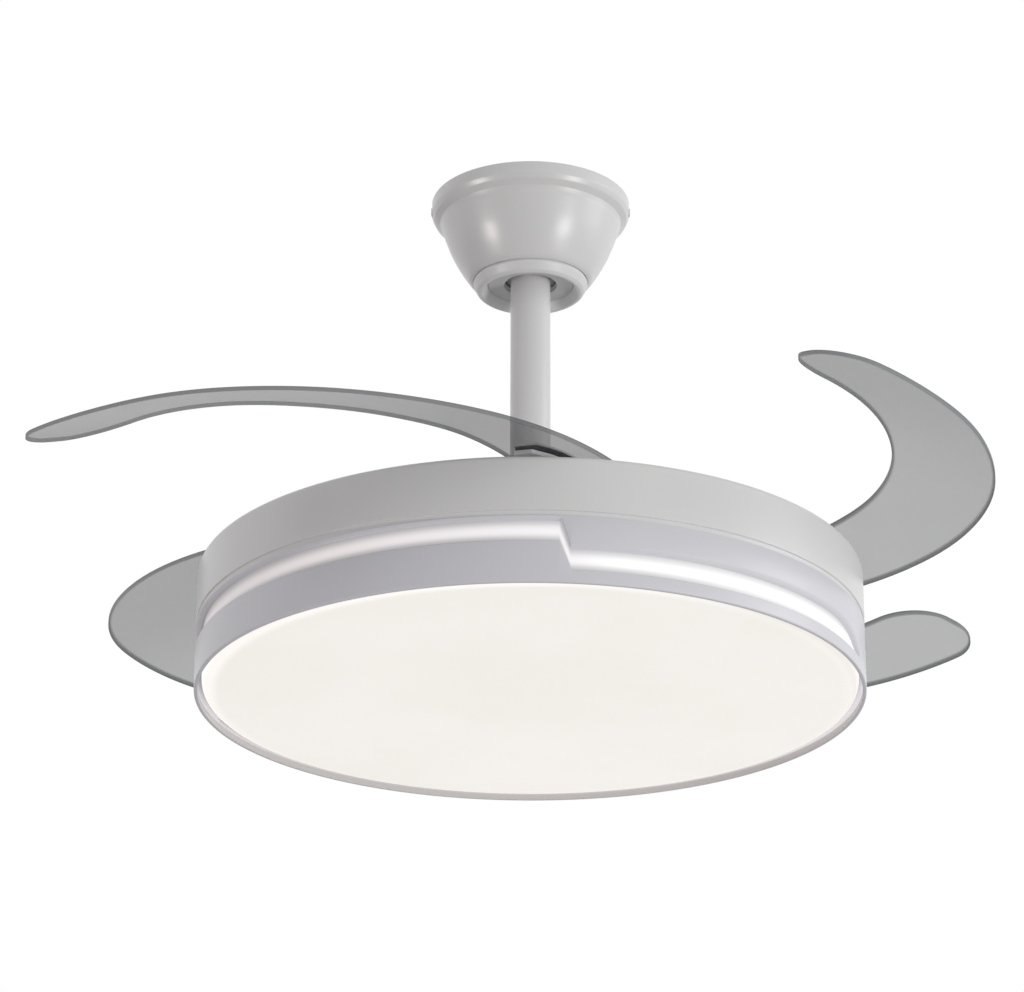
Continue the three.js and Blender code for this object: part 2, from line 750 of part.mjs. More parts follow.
function statorCore() {
  const tooth = 360 / coreTeeth;
  const yoke = coreYokeShare * coreRadius;
  const neck = coreRadius - coreShoe;
  const outline = [...Array(coreTeeth).keys()].flatMap((n) => {
    const at = n * tooth;
    return [
      polar(yoke, at - tooth * coreRootHalf),
      polar(neck, at - tooth * coreNeckHalf),
      polar(neck, at - tooth * coreShoeHalf),
      polar(coreRadius, at - tooth * coreShoeHalf),
      polar(coreRadius, at + tooth * coreShoeHalf),
      polar(neck, at + tooth * coreShoeHalf),
      polar(neck, at + tooth * coreNeckHalf),
      polar(yoke, at + tooth * coreRootHalf),
    ];
  });
  const stack = plate(outline, coreMiddle - coreHeight / 2, coreMiddle + coreHeight / 2);
  const bore = bar(shaftRadius + seatGap, 3 * coreHeight, "z", [0, 0, coreMiddle], smallFacets);
  return cutBy(stack, [bore]);
}

function magnetRing() {
  const outer = motorRadius - motorSheet - seatGap;
  const bottom = coreMiddle - magnetHeight / 2;
  return tube(outer - magnetThickness, outer, bottom, bottom + magnetHeight, middleFacets);
}

function motorBase() {
  const floor = motorBottom + motorSheet;
  const pocketTop = lowerBearingBottom + bearingHeight - runGap;
  const seatTop = gearBottom - seatGap;
  const pocket = bearingRadius + runGap;
  const throat = shaftRadius + 2 * runGap;
  const outline = [
    [throat, motorBottom],
    [motorRadius, motorBottom],
    [motorRadius, seatTop - gearSeatHeight],
    [motorRadius + gearSeatLip, seatTop - gearSeatHeight],
    [motorRadius + gearSeatLip, seatTop],
    [motorRadius, seatTop],
    [motorRadius, motorSplit],
    [motorRadius - motorSheet, motorSplit],
    [motorRadius - motorSheet, floor],
    [pocket + pocketWall, floor],
    [pocket + pocketWall, pocketTop],
    [pocket, pocketTop],
    [pocket, floor],
    [throat, floor],
  ];
  return turned(outline, middleFacets);
}

function motorCap() {
  const bottom = motorSplit + seatGap;
  const ceiling = motorTop - motorSheet;
  const pocketBottom = upperBearingBottom + runGap;
  const pocket = bearingRadius + runGap;
  const throat = shaftRadius + 2 * runGap;
  const wall = motorRadius - motorSheet;
  const outline = [
    [throat, motorTop],
    [motorRadius - motorShoulder, motorTop],
    [motorRadius - motorShoulderInset, motorTop - motorShoulderInset],
    [motorRadius, motorTop - motorShoulder],
    [motorRadius, bottom],
    [wall, bottom],
    [wall, motorTop - motorShoulder],
    [wall - motorSheet, ceiling],
    [pocket + pocketWall, ceiling],
    [pocket + pocketWall, pocketBottom],
    [pocket, pocketBottom],
    [pocket, ceiling],
    [throat, ceiling],
  ];
  const shell = turned(outline, middleFacets);
  const vents = [...Array(ventCount).keys()].map((n) => {
    const turn = (360 * n) / ventCount;
    const [x, y] = polar(ventPlace, turn);
    const slot = block([ventLength, ventWidth, 4 * motorSheet], [0, 0, motorTop]);
    return slot.rotate([0, 0, turn]).translate([x, y, 0]);
  });
  return cutBy(shell, vents);
}

// ---- Blade carrier ----

function pivotDirection(blade) {
  return pivotAngle + (360 * blade) / bladeCount;
}

function pivotHoles(height) {
  return [...Array(bladeCount).keys()].map((blade) => {
    const [x, y] = polar(pivotPlace, pivotDirection(blade));
    return bar(pivotPinRadius + seatGap, 4 * carrierSheet, "z", [x, y, height], holeFacets);
  });
}

function carrierTray() {
  const disc = tube(carrierHoleRadius, carrierRadius, trayBottom, trayTop, carrierFacets);
  const lightening = [...Array(bladeCount).keys()].map((n) => {
    const [x, y] = polar(pivotPlace - lighteningHoleInset, pivotDirection(n + 0.5));
    return bar(lighteningHoleRadius, 4 * carrierSheet, "z", [x, y, trayTop], pinFacets);
  });
  return cutBy(disc, [...pivotHoles(trayTop), ...lightening]);
}

function carrierCover() {
  const hole = motorRadius + runGap;
  const outline = [
    [hole, carrierCoverBottom],
    [carrierRadius - carrierEdge, carrierCoverBottom],
    [carrierRadius, carrierCoverBottom + carrierSheet / 2],
    [carrierRadius - carrierEdge, carrierCoverTop],
    [hole, carrierCoverTop],
  ];
  return cutBy(turned(outline, carrierFacets), pivotHoles(carrierCoverTop));
}

// Shouldered pin that joins the tray and its cover and carries one blade.
function pivotPin() {
  const foot = trayTop + seatGap;
  const shoulder = gearBottom - seatGap;
  const headBottom = carrierCoverTop + seatGap;
  const outline = [
    [0, trayBottom],
    [pivotPinRadius, trayBottom],
    [pivotPinRadius, foot],
    [pivotPinFoot, foot],
    [pivotPinFoot, shoulder],
    [pivotPinRadius, shoulder],
    [pivotPinRadius, headBottom],
    [pivotPinHead, headBottom],
    [pivotPinHead - 1, headBottom + pivotPinHeadSheet],
    [0, headBottom + pivotPinHeadSheet],
  ];
  return turned(outline, pinFacets);
}

// Torsion spring round the foot of the pin: a helix with a straight leg at each end.
class SpringPath extends THREE.Curve {
  getPoint(share) {
    const turnsLength = 2 * Math.PI * springRadius * springTurns;
    const whole = turnsLength + 2 * springLeg;
    const run = share * whole;
    const rise = trayTop + seatGap + springWire;
    if (run < springLeg) {
      return new THREE.Vector3(springRadius, run - springLeg, rise);
    }
    const wound = Math.min(run - springLeg, turnsLength);
    const turn = wound / springRadius;
    const height = rise + (springPitch * turn) / (2 * Math.PI);
    const point = new THREE.Vector3(springRadius * Math.cos(turn), springRadius * Math.sin(turn), height);
    const beyond = run - springLeg - wound;
    const tangent = new THREE.Vector3(-Math.sin(turn), Math.cos(turn), 0);
    return point.addScaledVector(tangent, beyond);
  }
}

function returnSpring() {
  const turnLength = 2 * Math.PI * springRadius;
  const steps = turnSteps * Math.ceil(springTurns + (2 * springLeg) / turnLength);
  return wireAlong(new SpringPath(), springWire, steps);
}

// Least gap between neighbouring turns of the spring, printed when the model is built.
function springGap() {
  const path = new SpringPath();
  const turnLength = 2 * Math.PI * springRadius;
  const turnShare = turnLength / (turnLength * springTurns + 2 * springLeg);
  let least = Infinity;
  for (let share = 0; share + turnShare <= 1; share += 0.01) {
    for (let step = 0.9; step <= 1.1 && share + step * turnShare <= 1; step += 0.01) {
      least = Math.min(least, path.getPoint(share).distanceTo(path.getPoint(share + step * turnShare)));
    }
  }
  return least - 2 * springWire;
}

// ---- Gears ----

// Teeth of a spur gear as [x, y] points, numbered from first to last, the tooth numbered 0 on +X.
function gearTeeth(teeth, first, last) {
  const pitch = (gearModule * teeth) / 2;
  const tip = pitch + gearModule * gearAddendum;
  const root = pitch - gearModule * gearDedendum;
  const pitchHalf = (Math.PI * gearModule) / 4 - gearBacklash / 2;
  const flank = Math.tan(radians(gearPressureAngle));
  const half = (radius) => {
    const width = pitchHalf - (radius - pitch) * flank;
    return (180 / Math.PI) * (width / radius);
  };
  const points = [];
  for (let tooth = first; tooth <= last; tooth += 1) {
    const at = (360 * tooth) / teeth;
    points.push(polar(root, at - half(root)));
    points.push(polar(tip, at - half(tip)));
    points.push(polar(tip, at + half(tip)));
    points.push(polar(root, at + half(root)));
  }
  return points;
}

function timingGear() {
  const wheel = plate(gearTeeth(syncTeeth, 0, syncTeeth - 1), gearBottom, gearTop);
  const bore = bar(motorRadius + runGap, 4 * gearThickness, "z", [0, 0, gearTop], middleFacets);
  return cutBy(wheel.rotate([0, 0, pivotAngle]), [bore]);
}

// Gear sector of a blade, about its pivot, with the blade folded along -Y of the pivot's frame.
function gearSector() {
  const tooth = 360 / sectorTeeth;
  const openContact = 180 - foldAngle;
  const teeth = gearTeeth(sectorTeeth, 0, sectorCut - 1);
  const outline = [[0, 0], ...teeth];
  const start = openContact - sectorLead * tooth;
  return plate(outline, gearBottom, gearTop).rotate([0, 0, start]);
}

// ---- Blades, arms and clamps: modelled folded, in a frame at the pivot with the fan's axis at -X ----

function bladeEdges(at) {
  const place = Math.min(at, bladeRoot);
  const outer = bladeBase + bladeClimb * along(bladeForm, "outer", place);
  const inner = bladeBase + bladeClimb * along(bladeForm, "inner", place);
  return [outer, inner];
}

function bladePoint(at, radius, lift) {
  const [outer, inner] = bladeEdges(at);
  const share = (bladeOuterRadius - radius) / bladeWidth;
  const [x, y] = polar(radius, at);
  return [x - pivotPlace, y, outer + share * (inner - outer) + lift];
}

// A sheet that follows the blade's surface: stations give its two edges, lifts give its two faces.
function followingSheet(stations, strips, lowLift, highLift) {
  const rows = [lowLift, highLift].map((lift) =>
    stations.map(({ at, inner, outer }) =>
      [...Array(strips + 1).keys()].map((n) => bladePoint(at, outer + ((inner - outer) * n) / strips, lift)),
    ),
  );
  const [low, high] = rows;
  const facets = [];
  const quad = (a, b, c, d) => facets.push(a, b, c, a, c, d);
  for (let row = 0; row < stations.length - 1; row += 1) {
    for (let n = 0; n < strips; n += 1) {
      quad(high[row][n], high[row + 1][n], high[row + 1][n + 1], high[row][n + 1]);
      quad(low[row][n + 1], low[row + 1][n + 1], low[row + 1][n], low[row][n]);
    }
    quad(low[row][0], low[row + 1][0], high[row + 1][0], high[row][0]);
    quad(high[row][strips], high[row + 1][strips], low[row + 1][strips], low[row][strips]);
  }
  const last = stations.length - 1;
  for (let n = 0; n < strips; n += 1) {
    quad(low[0][n], high[0][n], high[0][n + 1], low[0][n + 1]);
    quad(low[last][n + 1], high[last][n + 1], high[last][n], low[last][n]);
  }
  const geometry = new THREE.BufferGeometry();
  geometry.setAttribute("position", new THREE.Float32BufferAttribute(facets.flat(), 3));
  return solid(geometry);
}

// Distances from an end of the blade, closest together at the end, where its corners are roundest.
function endSteps(reach, steps) {
  return [...Array(steps + 1).keys()].map((n) => reach * (1 - Math.cos(radians((90 * n) / steps))));
}

// Width that a rounded corner takes off the blade at a distance from the end.
function cornerCut(distance, reach, width) {
  const left = Math.max(0, 1 - distance / reach);
  return width * (1 - Math.sqrt(1 - left ** 2));
}

function bladeStations() {
  const middle = (bladeOuterRadius + bladeInnerRadius) / 2;
  const length = radians(bladeRoot - bladeTip) * middle;
  const plain = length - rootCorner - tipSlopeLength;
  const places = [
    ...endSteps(rootCorner, 3),
    ...[...Array(bladeSteps - 1).keys()].map((n) => rootCorner + (plain * (n + 1)) / bladeSteps),
    ...endSteps(tipSlopeLength, 6).reverse().map((distance) => length - distance),
  ];
  return places.map((from) => {
    const at = bladeRoot - (from / middle) * (180 / Math.PI);
    const rootCut = cornerCut(from, rootCorner, rootCorner);
    const outerCut = rootCut + cornerCut(length - from, tipCorner, tipCorner);
    const innerCut = rootCut + cornerCut(length - from, tipSlopeLength, tipSlopeWidth);
    const drawn = bladeWidth * along(bladeForm, "drawn", at);
    return { at, inner: bladeInnerRadius + innerCut, outer: bladeOuterRadius - outerCut - drawn };
  });
}

// Middle of the blade's sheet at each stud.
function studMiddles() {
  return studPlaces.map(({ at, across }) => bladePoint(at, bladeOuterRadius - across * bladeWidth, 0));
}

function studHoles() {
  return studMiddles().map((middle) => bar(studRadius + seatGap, studHoleLength, "z", middle, holeFacets));
}

function blade() {
  const sheet = followingSheet(bladeStations(), bladeStrips, -bladeSheet / 2, bladeSheet / 2);
  return cutBy(sheet, studHoles());
}

// Radius from the fan's axis of an edge of the horn.
function hornRadius(edge, at) {
  return pivotPlace + along(armHorn, edge, at) * (bladeOuterRadius - pivotPlace);
}

function armStations() {
  const [start, end] = [armHorn[0].at, armHorn[armHorn.length - 1].at];
  return [...Array(armSteps + 1).keys()].map((step) => {
    const at = start + ((end - start) * step) / armSteps;
    return { at, inner: hornRadius("inner", at), outer: hornRadius("outer", at) };
  });
}

// Arm of one blade: boss on the pivot pin, gear sector and the horn that lies under the blade.
function bladeArm() {
  const horn = followingSheet(armStations(), 1, armTop - armSheet, armTop);
  const boss = bar(bossRadius, bossHeight, "z", [0, 0, gearBottom + bossHeight / 2], pinFacets);
  const bore = bar(pivotPinRadius + seatGap, 3 * bossHeight, "z", [0, 0, bossTop], pinFacets);
  return cutBy(joined([gearSector(), boss, horn]), [bore, ...studHoles()]);
}

function clampStations() {
  const floor = bladeInnerRadius + clampMargin;
  return [...Array(clampSteps + 1).keys()].map((step) => {
    const at = clampStart + ((clampEnd - clampStart) * step) / clampSteps;
    const inner = Math.max(hornRadius("inner", at), floor);
    return { at, inner, outer: Math.max(hornRadius("outer", at) - clampInset, inner + clampLeast) };
  });
}

// Steel strip on top of the blade with pressed studs that pass through blade and arm.
function bladeClamp() {
  const low = bladeSheet / 2 + padSheet;
  const strip = followingSheet(clampStations(), 1, low, low + clampSheet);
  const top = low + clampSheet + studHeadHeight;
  const foot = armTop - armSheet - studTail;
  const studs = studMiddles().map(([x, y, z]) => {
    const shank = bar(studRadius, top - foot, "z", [x, y, z + (top + foot) / 2], holeFacets);
    const headSheet = studHeadHeight + bite;
    const head = bar(studHeadRadius, headSheet, "z", [x, y, z + top - headSheet / 2], holeFacets);
    return shank.add(head);
  });
  return joined([strip, ...studs]);
}

// ---- Lamp ----

function shaftCollar() {
  const bottom = housingTop + seatGap;
  return tube(shaftRadius + seatGap, collarRadius, bottom, bottom + collarHeight, pinFacets);
}

function lockWasher() {
  const top = housingTop - housingSheet - seatGap;
  return tube(shaftRadius + seatGap, washerRadius, top - washerSheet, top, pinFacets);
}

function shaftNut() {
  const top = housingTop - housingSheet - washerSheet - 2 * seatGap;
  const hexagon = [...Array(6).keys()].map((corner) => polar(nutRadius, 60 * corner));
  const body = plate(hexagon, top - nutHeight, top);
  return cutBy(body, [bar(shaftRadius + seatGap, 3 * nutHeight, "z", [0, 0, top], pinFacets)]);
}

function drumHousing() {
  const seamRadius = drumRadius - seamDepth;
  const lowWall = seamRadius - housingSheet;
  const outline = [
    [lampFlangeInner, housingBottom],
    [seamRadius, housingBottom],
    [seamRadius, housingBottom + seamHeight],
    [drumRadius, housingBottom + seamHeight + bite],
    [drumRadius, housingTop - housingShoulder],
    [drumRadius - housingShoulder * shoulderBow, housingTop - housingShoulder * shoulderBow],
    [drumRadius - housingShoulder, housingTop],
    [shaftRadius + seatGap, housingTop],
    [shaftRadius + seatGap, housingTop - housingSheet],
    [drumRadius - housingShoulder - shoulderWall, housingTop - housingSheet],
    [lowWall, housingTop - housingShoulder - shoulderWall],
    [lowWall, housingBottom + lampFlangeSheet],
    [lampFlangeInner, housingBottom + lampFlangeSheet],
  ];
  return turned(outline, drumFacets);
}

// Hexagonal spacer that holds the LED board off the housing.
function standoff(number) {
  const bottom = boardTop + seatGap;
  const top = housingTop - housingSheet - seatGap;
  const [x, y] = polar(standoffPlace, (360 * (number - 1)) / standoffCount);
  return bar(standoffRadius, top - bottom, "z", [x, y, (top + bottom) / 2], 6);
}

// A block that follows the drum between two radii, two directions from the front and two heights.
function ringSector(inner, outer, start, end, bottom, top) {
  const facet = 360 / drumFacets;
  const directions = [start];
  for (let at = facet * Math.floor(start / facet + 1); at < end; at += facet) {
    directions.push(at);
  }
  directions.push(end);
  const outside = directions.map((at) => polar(outer, at - 90));
  const inside = directions.map((at) => polar(inner, at - 90)).reverse();
  return plate([...outside, ...inside], lampBottom + bottom, lampBottom + top);
}

// The stepped slot of the side ring: a high run, a sloping neck and a low run, widened by a margin.
function steppedSlot(inner, outer, margin) {
  const widen = (180 / Math.PI) * (margin / drumRadius);
  const [highBottom, highTop] = [highSlotBottom - margin, highSlotTop + margin];
  const [lowBottom, lowTop] = [lowSlotBottom - margin, lowSlotTop + margin];
  const high = ringSector(inner, outer, highSlotStart - widen, highSlotEnd + widen, highBottom, highTop);
  const low = ringSector(inner, outer, lowSlotStart - widen, lowSlotEnd + widen, lowBottom, lowTop);
  const middle = (highSlotEnd + lowSlotStart) / 2;
  const reach = radians(lowSlotStart - highSlotEnd) * (drumRadius / 2);
  const neckStart = -reach - margin - 2 * bite;
  const neckEnd = reach + margin + 2 * bite;
  const neck = [
    [neckStart, highTop],
    [-reach + margin, highTop],
    [neckEnd, lowTop],
    [neckEnd, lowBottom],
    [reach - neckLand - margin, lowBottom],
    [-reach - margin, highBottom],
    [neckStart, highBottom],
  ];
  const shape = new THREE.Shape(neck.map(([x, y]) => new THREE.Vector2(x, y)));
  const link = new THREE.ExtrudeGeometry(shape, { depth: outer - inner, bevelEnabled: false });
  const turn = new THREE.Matrix4().makeBasis(
    new THREE.Vector3(1, 0, 0),
    new THREE.Vector3(0, 0, 1),
    new THREE.Vector3(0, -1, 0),
  );
  link.applyMatrix4(turn);
  link.translate(0, -inner, lampBottom);
  link.rotateZ(radians(middle));
  return joined([high, low, solid(link)]);
}

function sideRing() {
  const rimInner = drumRadius - rimSheet;
  const wall = drumRadius - ringSheet;
  const outline = [
    [rimInner, lampBottom],
    [drumRadius - rimRound, lampBottom],
    [drumRadius - rimRound * shoulderBow, lampBottom + rimRound * shoulderBow],
    [drumRadius, lampBottom + rimRound],
    [drumRadius, ringTop],
    [lampFlangeInner, ringTop],
    [lampFlangeInner, ringTop - lampFlangeSheet],
    [wall, ringTop - lampFlangeSheet],
    [wall, lampBottom + rimHeight],
    [rimInner, lampBottom + rimHeight - rimSlope],
  ];
  const band = turned(outline, drumFacets);
  const lipInner = drumRadius - lipDepth;
  const lipOuter = drumRadius - ringSheet / 3;
  const lipRoom = tube(lipInner, lipOuter, lampBottom + bite, ringTop - bite, drumFacets);
  const turns = [...Array(slotCount).keys()].map((n) => (360 * n) / slotCount);
  const inner = drumRadius - 2 * lipDepth;
  const outer = drumRadius + lipDepth;
  const lips = turns.map((turn) => {
    const raised = steppedSlot(inner, outer, lipSheet).rotate([0, 0, turn]);
    return raised.intersect(lipRoom);
  });
  const slots = turns.map((turn) => steppedSlot(inner, outer, 0).rotate([0, 0, turn]));
  return cutBy(joined([band, ...lips]), slots);
}

function diffuser() {
  const face = lampBottom + diffuserLift;
  const top = ringTop - lampFlangeSheet - seatGap;
  const inner = diffuserRadius - diffuserSheet;
  const corner = (radius) =>
    [...Array(3).keys()].map((n) => {
      const at = -90 + 45 * n;
      const [out, up] = polar(radius, at);
      return [diffuserRadius - diffuserEdge + out, face + diffuserEdge + up];
    });
  const outline = [
    [0, face],
    ...corner(diffuserEdge),
    [diffuserRadius, top],
    [diffuserRadius - diffuserFlange, top],
    [diffuserRadius - diffuserFlange, top - lampFlangeSheet],
    [inner, top - lampFlangeSheet],
    [inner, face + diffuserEdge],
    [diffuserRadius - diffuserEdge, face + diffuserSheet],
    [0, face + diffuserSheet],
  ];
  return turned(outline, drumFacets);
}

function ledBoard() {
  const top = boardTop;
  return tube(boardHoleRadius, boardRadius, top - boardSheet, top, smallFacets);
}

function ledDriver() {
  const top = housingTop - housingSheet - seatGap;
  const body = block([driverWidth, driverLength, driverHeight], [driverPlace, 0, top - driverHeight / 2]);
  const ends = [-1, 1].map((side) =>
    block(
      [driverEarShare * driverWidth, driverEarLength + 2 * bite, driverEarHeight],
      [driverPlace, (side * (driverLength + driverEarLength)) / 2, top - driverEarHeight / 2],
    ),
  );
  return joined([body, ...ends]);
}

// ---- Assembly ----

function piece(parent, name, body, material) {
  const mesh = new THREE.Mesh(geometryOf(body), material);
  mesh.name = name;
  parent.add(mesh);
}

function ceilingPart() {
  const group = new THREE.Group();
  piece(group, "hanger_bracket", hangerBracket(), steel);
  piece(group, "canopy", canopy(), white);
  piece(group, "canopy_trim", canopyTrim(), white);
  piece(group, "canopy_screw_left", canopyScrew(-1), steel);
  piece(group, "canopy_screw_right", canopyScrew(1), steel);
  piece(group, "remote_receiver", remoteReceiver(), plastic);
  piece(group, "terminal_block", terminalBlock(), nylon);
  return group;
}

function hangingPart() {
  const group = new THREE.Group();
  piece(group, "hanger_ball", hangerBall(), nylon);
  piece(group, "ball_pin", ballPin(), steel);
  piece(group, "downrod", downrod(), white);
  piece(group, "shaft_coupling", shaftCoupling(), castMetal);
  piece(group, "clevis_pin", clevisPin(), steel);
  piece(group, "clevis_clip", clevisClip(), steel);
  piece(group, "coupling_cover", couplingCover(), white);
  piece(group, "stator_shaft", statorShaft(), steel);
  piece(group, "stator_core", statorCore(), copper);
  piece(group, "lower_bearing", bearing(lowerBearingBottom), steel);
  piece(group, "upper_bearing", bearing(upperBearingBottom), steel);
  return group;
}

function lampPart() {
  const group = new THREE.Group();
  piece(group, "shaft_collar", shaftCollar(), steel);
  piece(group, "lock_washer", lockWasher(), steel);
  piece(group, "shaft_nut", shaftNut(), steel);
  piece(group, "drum_housing", drumHousing(), white);
  piece(group, "side_ring", sideRing(), ringWhite);
  piece(group, "diffuser", diffuser(), opal);
  piece(group, "led_board", ledBoard(), boardWhite);
  piece(group, "led_driver", ledDriver(), darkPlastic);
  for (let number = 1; number <= standoffCount; number += 1) {
    piece(group, `standoff_${number}`, standoff(number), nylon);
  }
  return group;
}

function turningPart() {
  const group = new THREE.Group();
  piece(group, "motor_base", motorBase(), castMetal);
  piece(group, "motor_cap", motorCap(), white);
  piece(group, "magnet_ring", magnetRing(), darkPlastic);
  piece(group, "carrier_tray", carrierTray(), steel);
  piece(group, "carrier_cover", carrierCover(), white);
  piece(group, "timing_gear", timingGear(), nylon);
  return group;
}

// One blade with its arm and clamp, turned open about its pivot, and its pin and spring.
function bladePart(number) {
  const direction = pivotDirection(number - 1);
  const station = new THREE.Group();
  station.position.set(...polar(pivotPlace, direction), 0);
  station.rotation.z = radians(direction);
  piece(station, `pivot_pin_${number}`, pivotPin(), steel);
  piece(station, `return_spring_${number}`, returnSpring(), steel);
  const open = new THREE.Group();
  open.rotation.z = radians(foldAngle);
  piece(open, `blade_arm_${number}`, bladeArm(), castMetal);
  piece(open, `blade_${number}`, blade(), acrylic);
  piece(open, `blade_clamp_${number}`, bladeClamp(), steel);
  station.add(open);
  return station;
}

const fan = new THREE.Group();
fan.add(ceilingPart());
fan.add(hangingPart());
fan.add(lampPart());
fan.add(turningPart());
for (let number = 1; number <= bladeCount; number += 1) {
  fan.add(bladePart(number));
}
console.log(`least gap between the turns of a return spring: ${springGap().toFixed(2)} mm`);

export default fan;
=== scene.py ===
"""Ceiling fan with four folding blades round a drum lamp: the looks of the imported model, in metres."""

import json
import math

import bmesh
import bpy
from mathutils import Matrix, Vector


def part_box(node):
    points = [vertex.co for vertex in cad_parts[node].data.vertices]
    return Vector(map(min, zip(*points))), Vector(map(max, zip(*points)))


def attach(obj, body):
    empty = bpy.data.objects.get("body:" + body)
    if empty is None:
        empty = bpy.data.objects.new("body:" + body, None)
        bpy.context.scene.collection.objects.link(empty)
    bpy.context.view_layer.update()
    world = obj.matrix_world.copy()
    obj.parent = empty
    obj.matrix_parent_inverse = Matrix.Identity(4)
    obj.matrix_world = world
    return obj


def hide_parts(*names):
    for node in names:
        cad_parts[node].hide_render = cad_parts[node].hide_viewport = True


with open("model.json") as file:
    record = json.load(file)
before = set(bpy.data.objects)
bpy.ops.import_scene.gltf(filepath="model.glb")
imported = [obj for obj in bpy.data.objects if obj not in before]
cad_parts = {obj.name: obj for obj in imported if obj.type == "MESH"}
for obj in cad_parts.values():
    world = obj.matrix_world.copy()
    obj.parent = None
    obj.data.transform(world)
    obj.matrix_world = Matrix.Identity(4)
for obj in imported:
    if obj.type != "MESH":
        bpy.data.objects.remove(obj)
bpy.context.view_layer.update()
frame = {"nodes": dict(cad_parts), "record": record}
nodes = frame["nodes"]

# ---- Studio ----
# The fan hangs in a plain white studio: a broad even light, a softbox on each side at the height of the
# camera, a larger one on the right, and a pale floor far below.
def in_scene(name, data):
    """A new object in the scene."""
    made = bpy.data.objects.new(name, data)
    bpy.context.scene.collection.objects.link(made)
    return made


camera_data = bpy.data.cameras.new("camera")
camera_data.lens = 133.01
camera_data.sensor_width = 36
camera_pitch, camera_roll = math.radians(90 + 21.993), math.radians(0.172)
camera = in_scene("camera", camera_data)
camera.location = (-0.0139, -2.6706, -1.3245)
camera_turn = Matrix.Rotation(camera_pitch, 3, "X") @ Matrix.Rotation(camera_roll, 3, "Z")
camera.rotation_euler = camera_turn.to_euler()
bpy.context.scene.camera = camera
bpy.context.scene.view_settings.view_transform = "Standard"


class Value:
    """A value on its way through a node tree. Its operators add Math nodes."""

    def __init__(self, graph, socket):
        self.graph = graph
        self.socket = socket

    def math(self, operation, *terms):
        return self.graph.node("ShaderNodeMath", {"operation": operation}, dict(enumerate((self, *terms))))

    def __add__(self, other):
        return self.math("ADD", other)

    def __sub__(self, other):
        return self.math("SUBTRACT", other)

    def __mul__(self, other):
        return self.math("MULTIPLY", other)

    def __truediv__(self, other):
        return self.math("DIVIDE", other)

    def __neg__(self):
        return self * -1.0

    def __rsub__(self, other):
        return -self + other

    __radd__ = __add__
    __rmul__ = __mul__

    def least(self, other):
        return self.math("MINIMUM", other)

    def most(self, other):
        return self.math("MAXIMUM", other)


class Graph:
    """A node tree that is filled in by expressions."""

    def __init__(self, tree):
        self.tree = tree

    def node(self, kind, settings=None, inputs=None, output=0):
        """Adds a node: its settings first, then the values or links of its sockets."""
        made = self.tree.nodes.new(kind)
        for name, setting in (settings or {}).items():
            if name == "stops":
                ramp = made.color_ramp.elements
                while len(ramp) < len(setting):
                    ramp.new(0.5)
                for stop, (place, colour) in zip(ramp, setting):
                    stop.position = place
                    stop.color = (*colour, 1) if len(colour) == 3 else colour
            else:
                setattr(made, name, setting)
        for key, value in (inputs or {}).items():
            self.put(made.inputs[key], value)
        return Value(self, made.outputs[output])

    def put(self, socket, value):
        if isinstance(value, Value):
            self.tree.links.new(value.socket, socket)
        else:
            socket.default_value = value

    def mix(self, share, first, second):
        """First colour at a share of 0, second at 1."""
        return self.node("ShaderNodeMix", {"data_type": "RGBA"}, {0: share, 6: first, 7: second}, 2)

    def spread(self, value, low, high, start=0.0, end=1.0):
        """Value between low and high brought to the range from start to end."""
        return self.node("ShaderNodeMapRange", None, {0: value, 1: low, 2: high, 3: start, 4: end})

    def ramp(self, value, stops):
        """Colour that a value has on a ramp of (place, colour) stops."""
        return self.node("ShaderNodeValToRGB", {"stops": stops}, {0: value})

    def vector(self, x=0.0, y=0.0, z=0.0):
        return self.node("ShaderNodeCombineXYZ", None, {0: x, 1: y, 2: z})

    def parts(self, vector):
        """The three parts of a vector."""
        split = self.node("ShaderNodeSeparateXYZ", None, {0: vector}).socket.node
        return [Value(self, part) for part in split.outputs]

    def own_place(self):
        """Place in the piece's own coordinates."""
        return self.node("ShaderNodeTexCoord", None, None, "Object")

    def noise(self, scale, detail=2.0, stretch=None):
        """Noise over the piece's own coordinates, in cycles per metre."""
        place = self.own_place()
        if stretch:
            place = self.node("ShaderNodeMapping", None, {"Vector": place, "Scale": stretch})
        return self.node("ShaderNodeTexNoise", None, {"Vector": place, "Scale": scale, "Detail": detail})


def colour(red, green, blue):
    """Colour as it is read off a picture, 0 to 255, in the renderer's linear values."""

    def linear(level):
        level /= 255
        return level / 12.92 if level <= 0.04045 else ((level + 0.055) / 1.055) ** 2.4

    return (linear(red), linear(green), linear(blue), 1)


def new_material(name):
    """A material's node graph and its main shader's sockets."""
    material = bpy.data.materials.new(name)
    material.use_nodes = True
    shader = next(n for n in material.node_tree.nodes if n.type == "BSDF_PRINCIPLED")
    return material, Graph(material.node_tree), shader.inputs


def softbox(name, place, size, power, tint, only_shine=False):
    light = bpy.data.lights.new(name, "AREA")
    light.shape = "RECTANGLE"
    light.size, light.size_y = size
    light.energy = power
    light.color = tint
    made = in_scene(name, light)
    made.location = place
    made.visible_diffuse = not only_shine
    aim = Vector((0, 0, -0.2)) - Vector(place)
    made.rotation_euler = aim.to_track_quat("-Z", "Z").to_euler()


left_place, left_tint = (-2.5, -1.37, -1.15), (1, 0.92, 0.92)
softbox("right_softbox", (2.15, -1.8, -1.15), (0.5, 0.9), 28, (1, 1, 1))
softbox("left_softbox", left_place, (0.4, 0.85), 7, left_tint)
softbox("left_shine", left_place, (0.34, 0.72), 22, left_tint, only_shine=True)
softbox("side_softbox", (3.0, -0.2, 0.3), (1.6, 1.6), 16, (1, 0.99, 0.99))

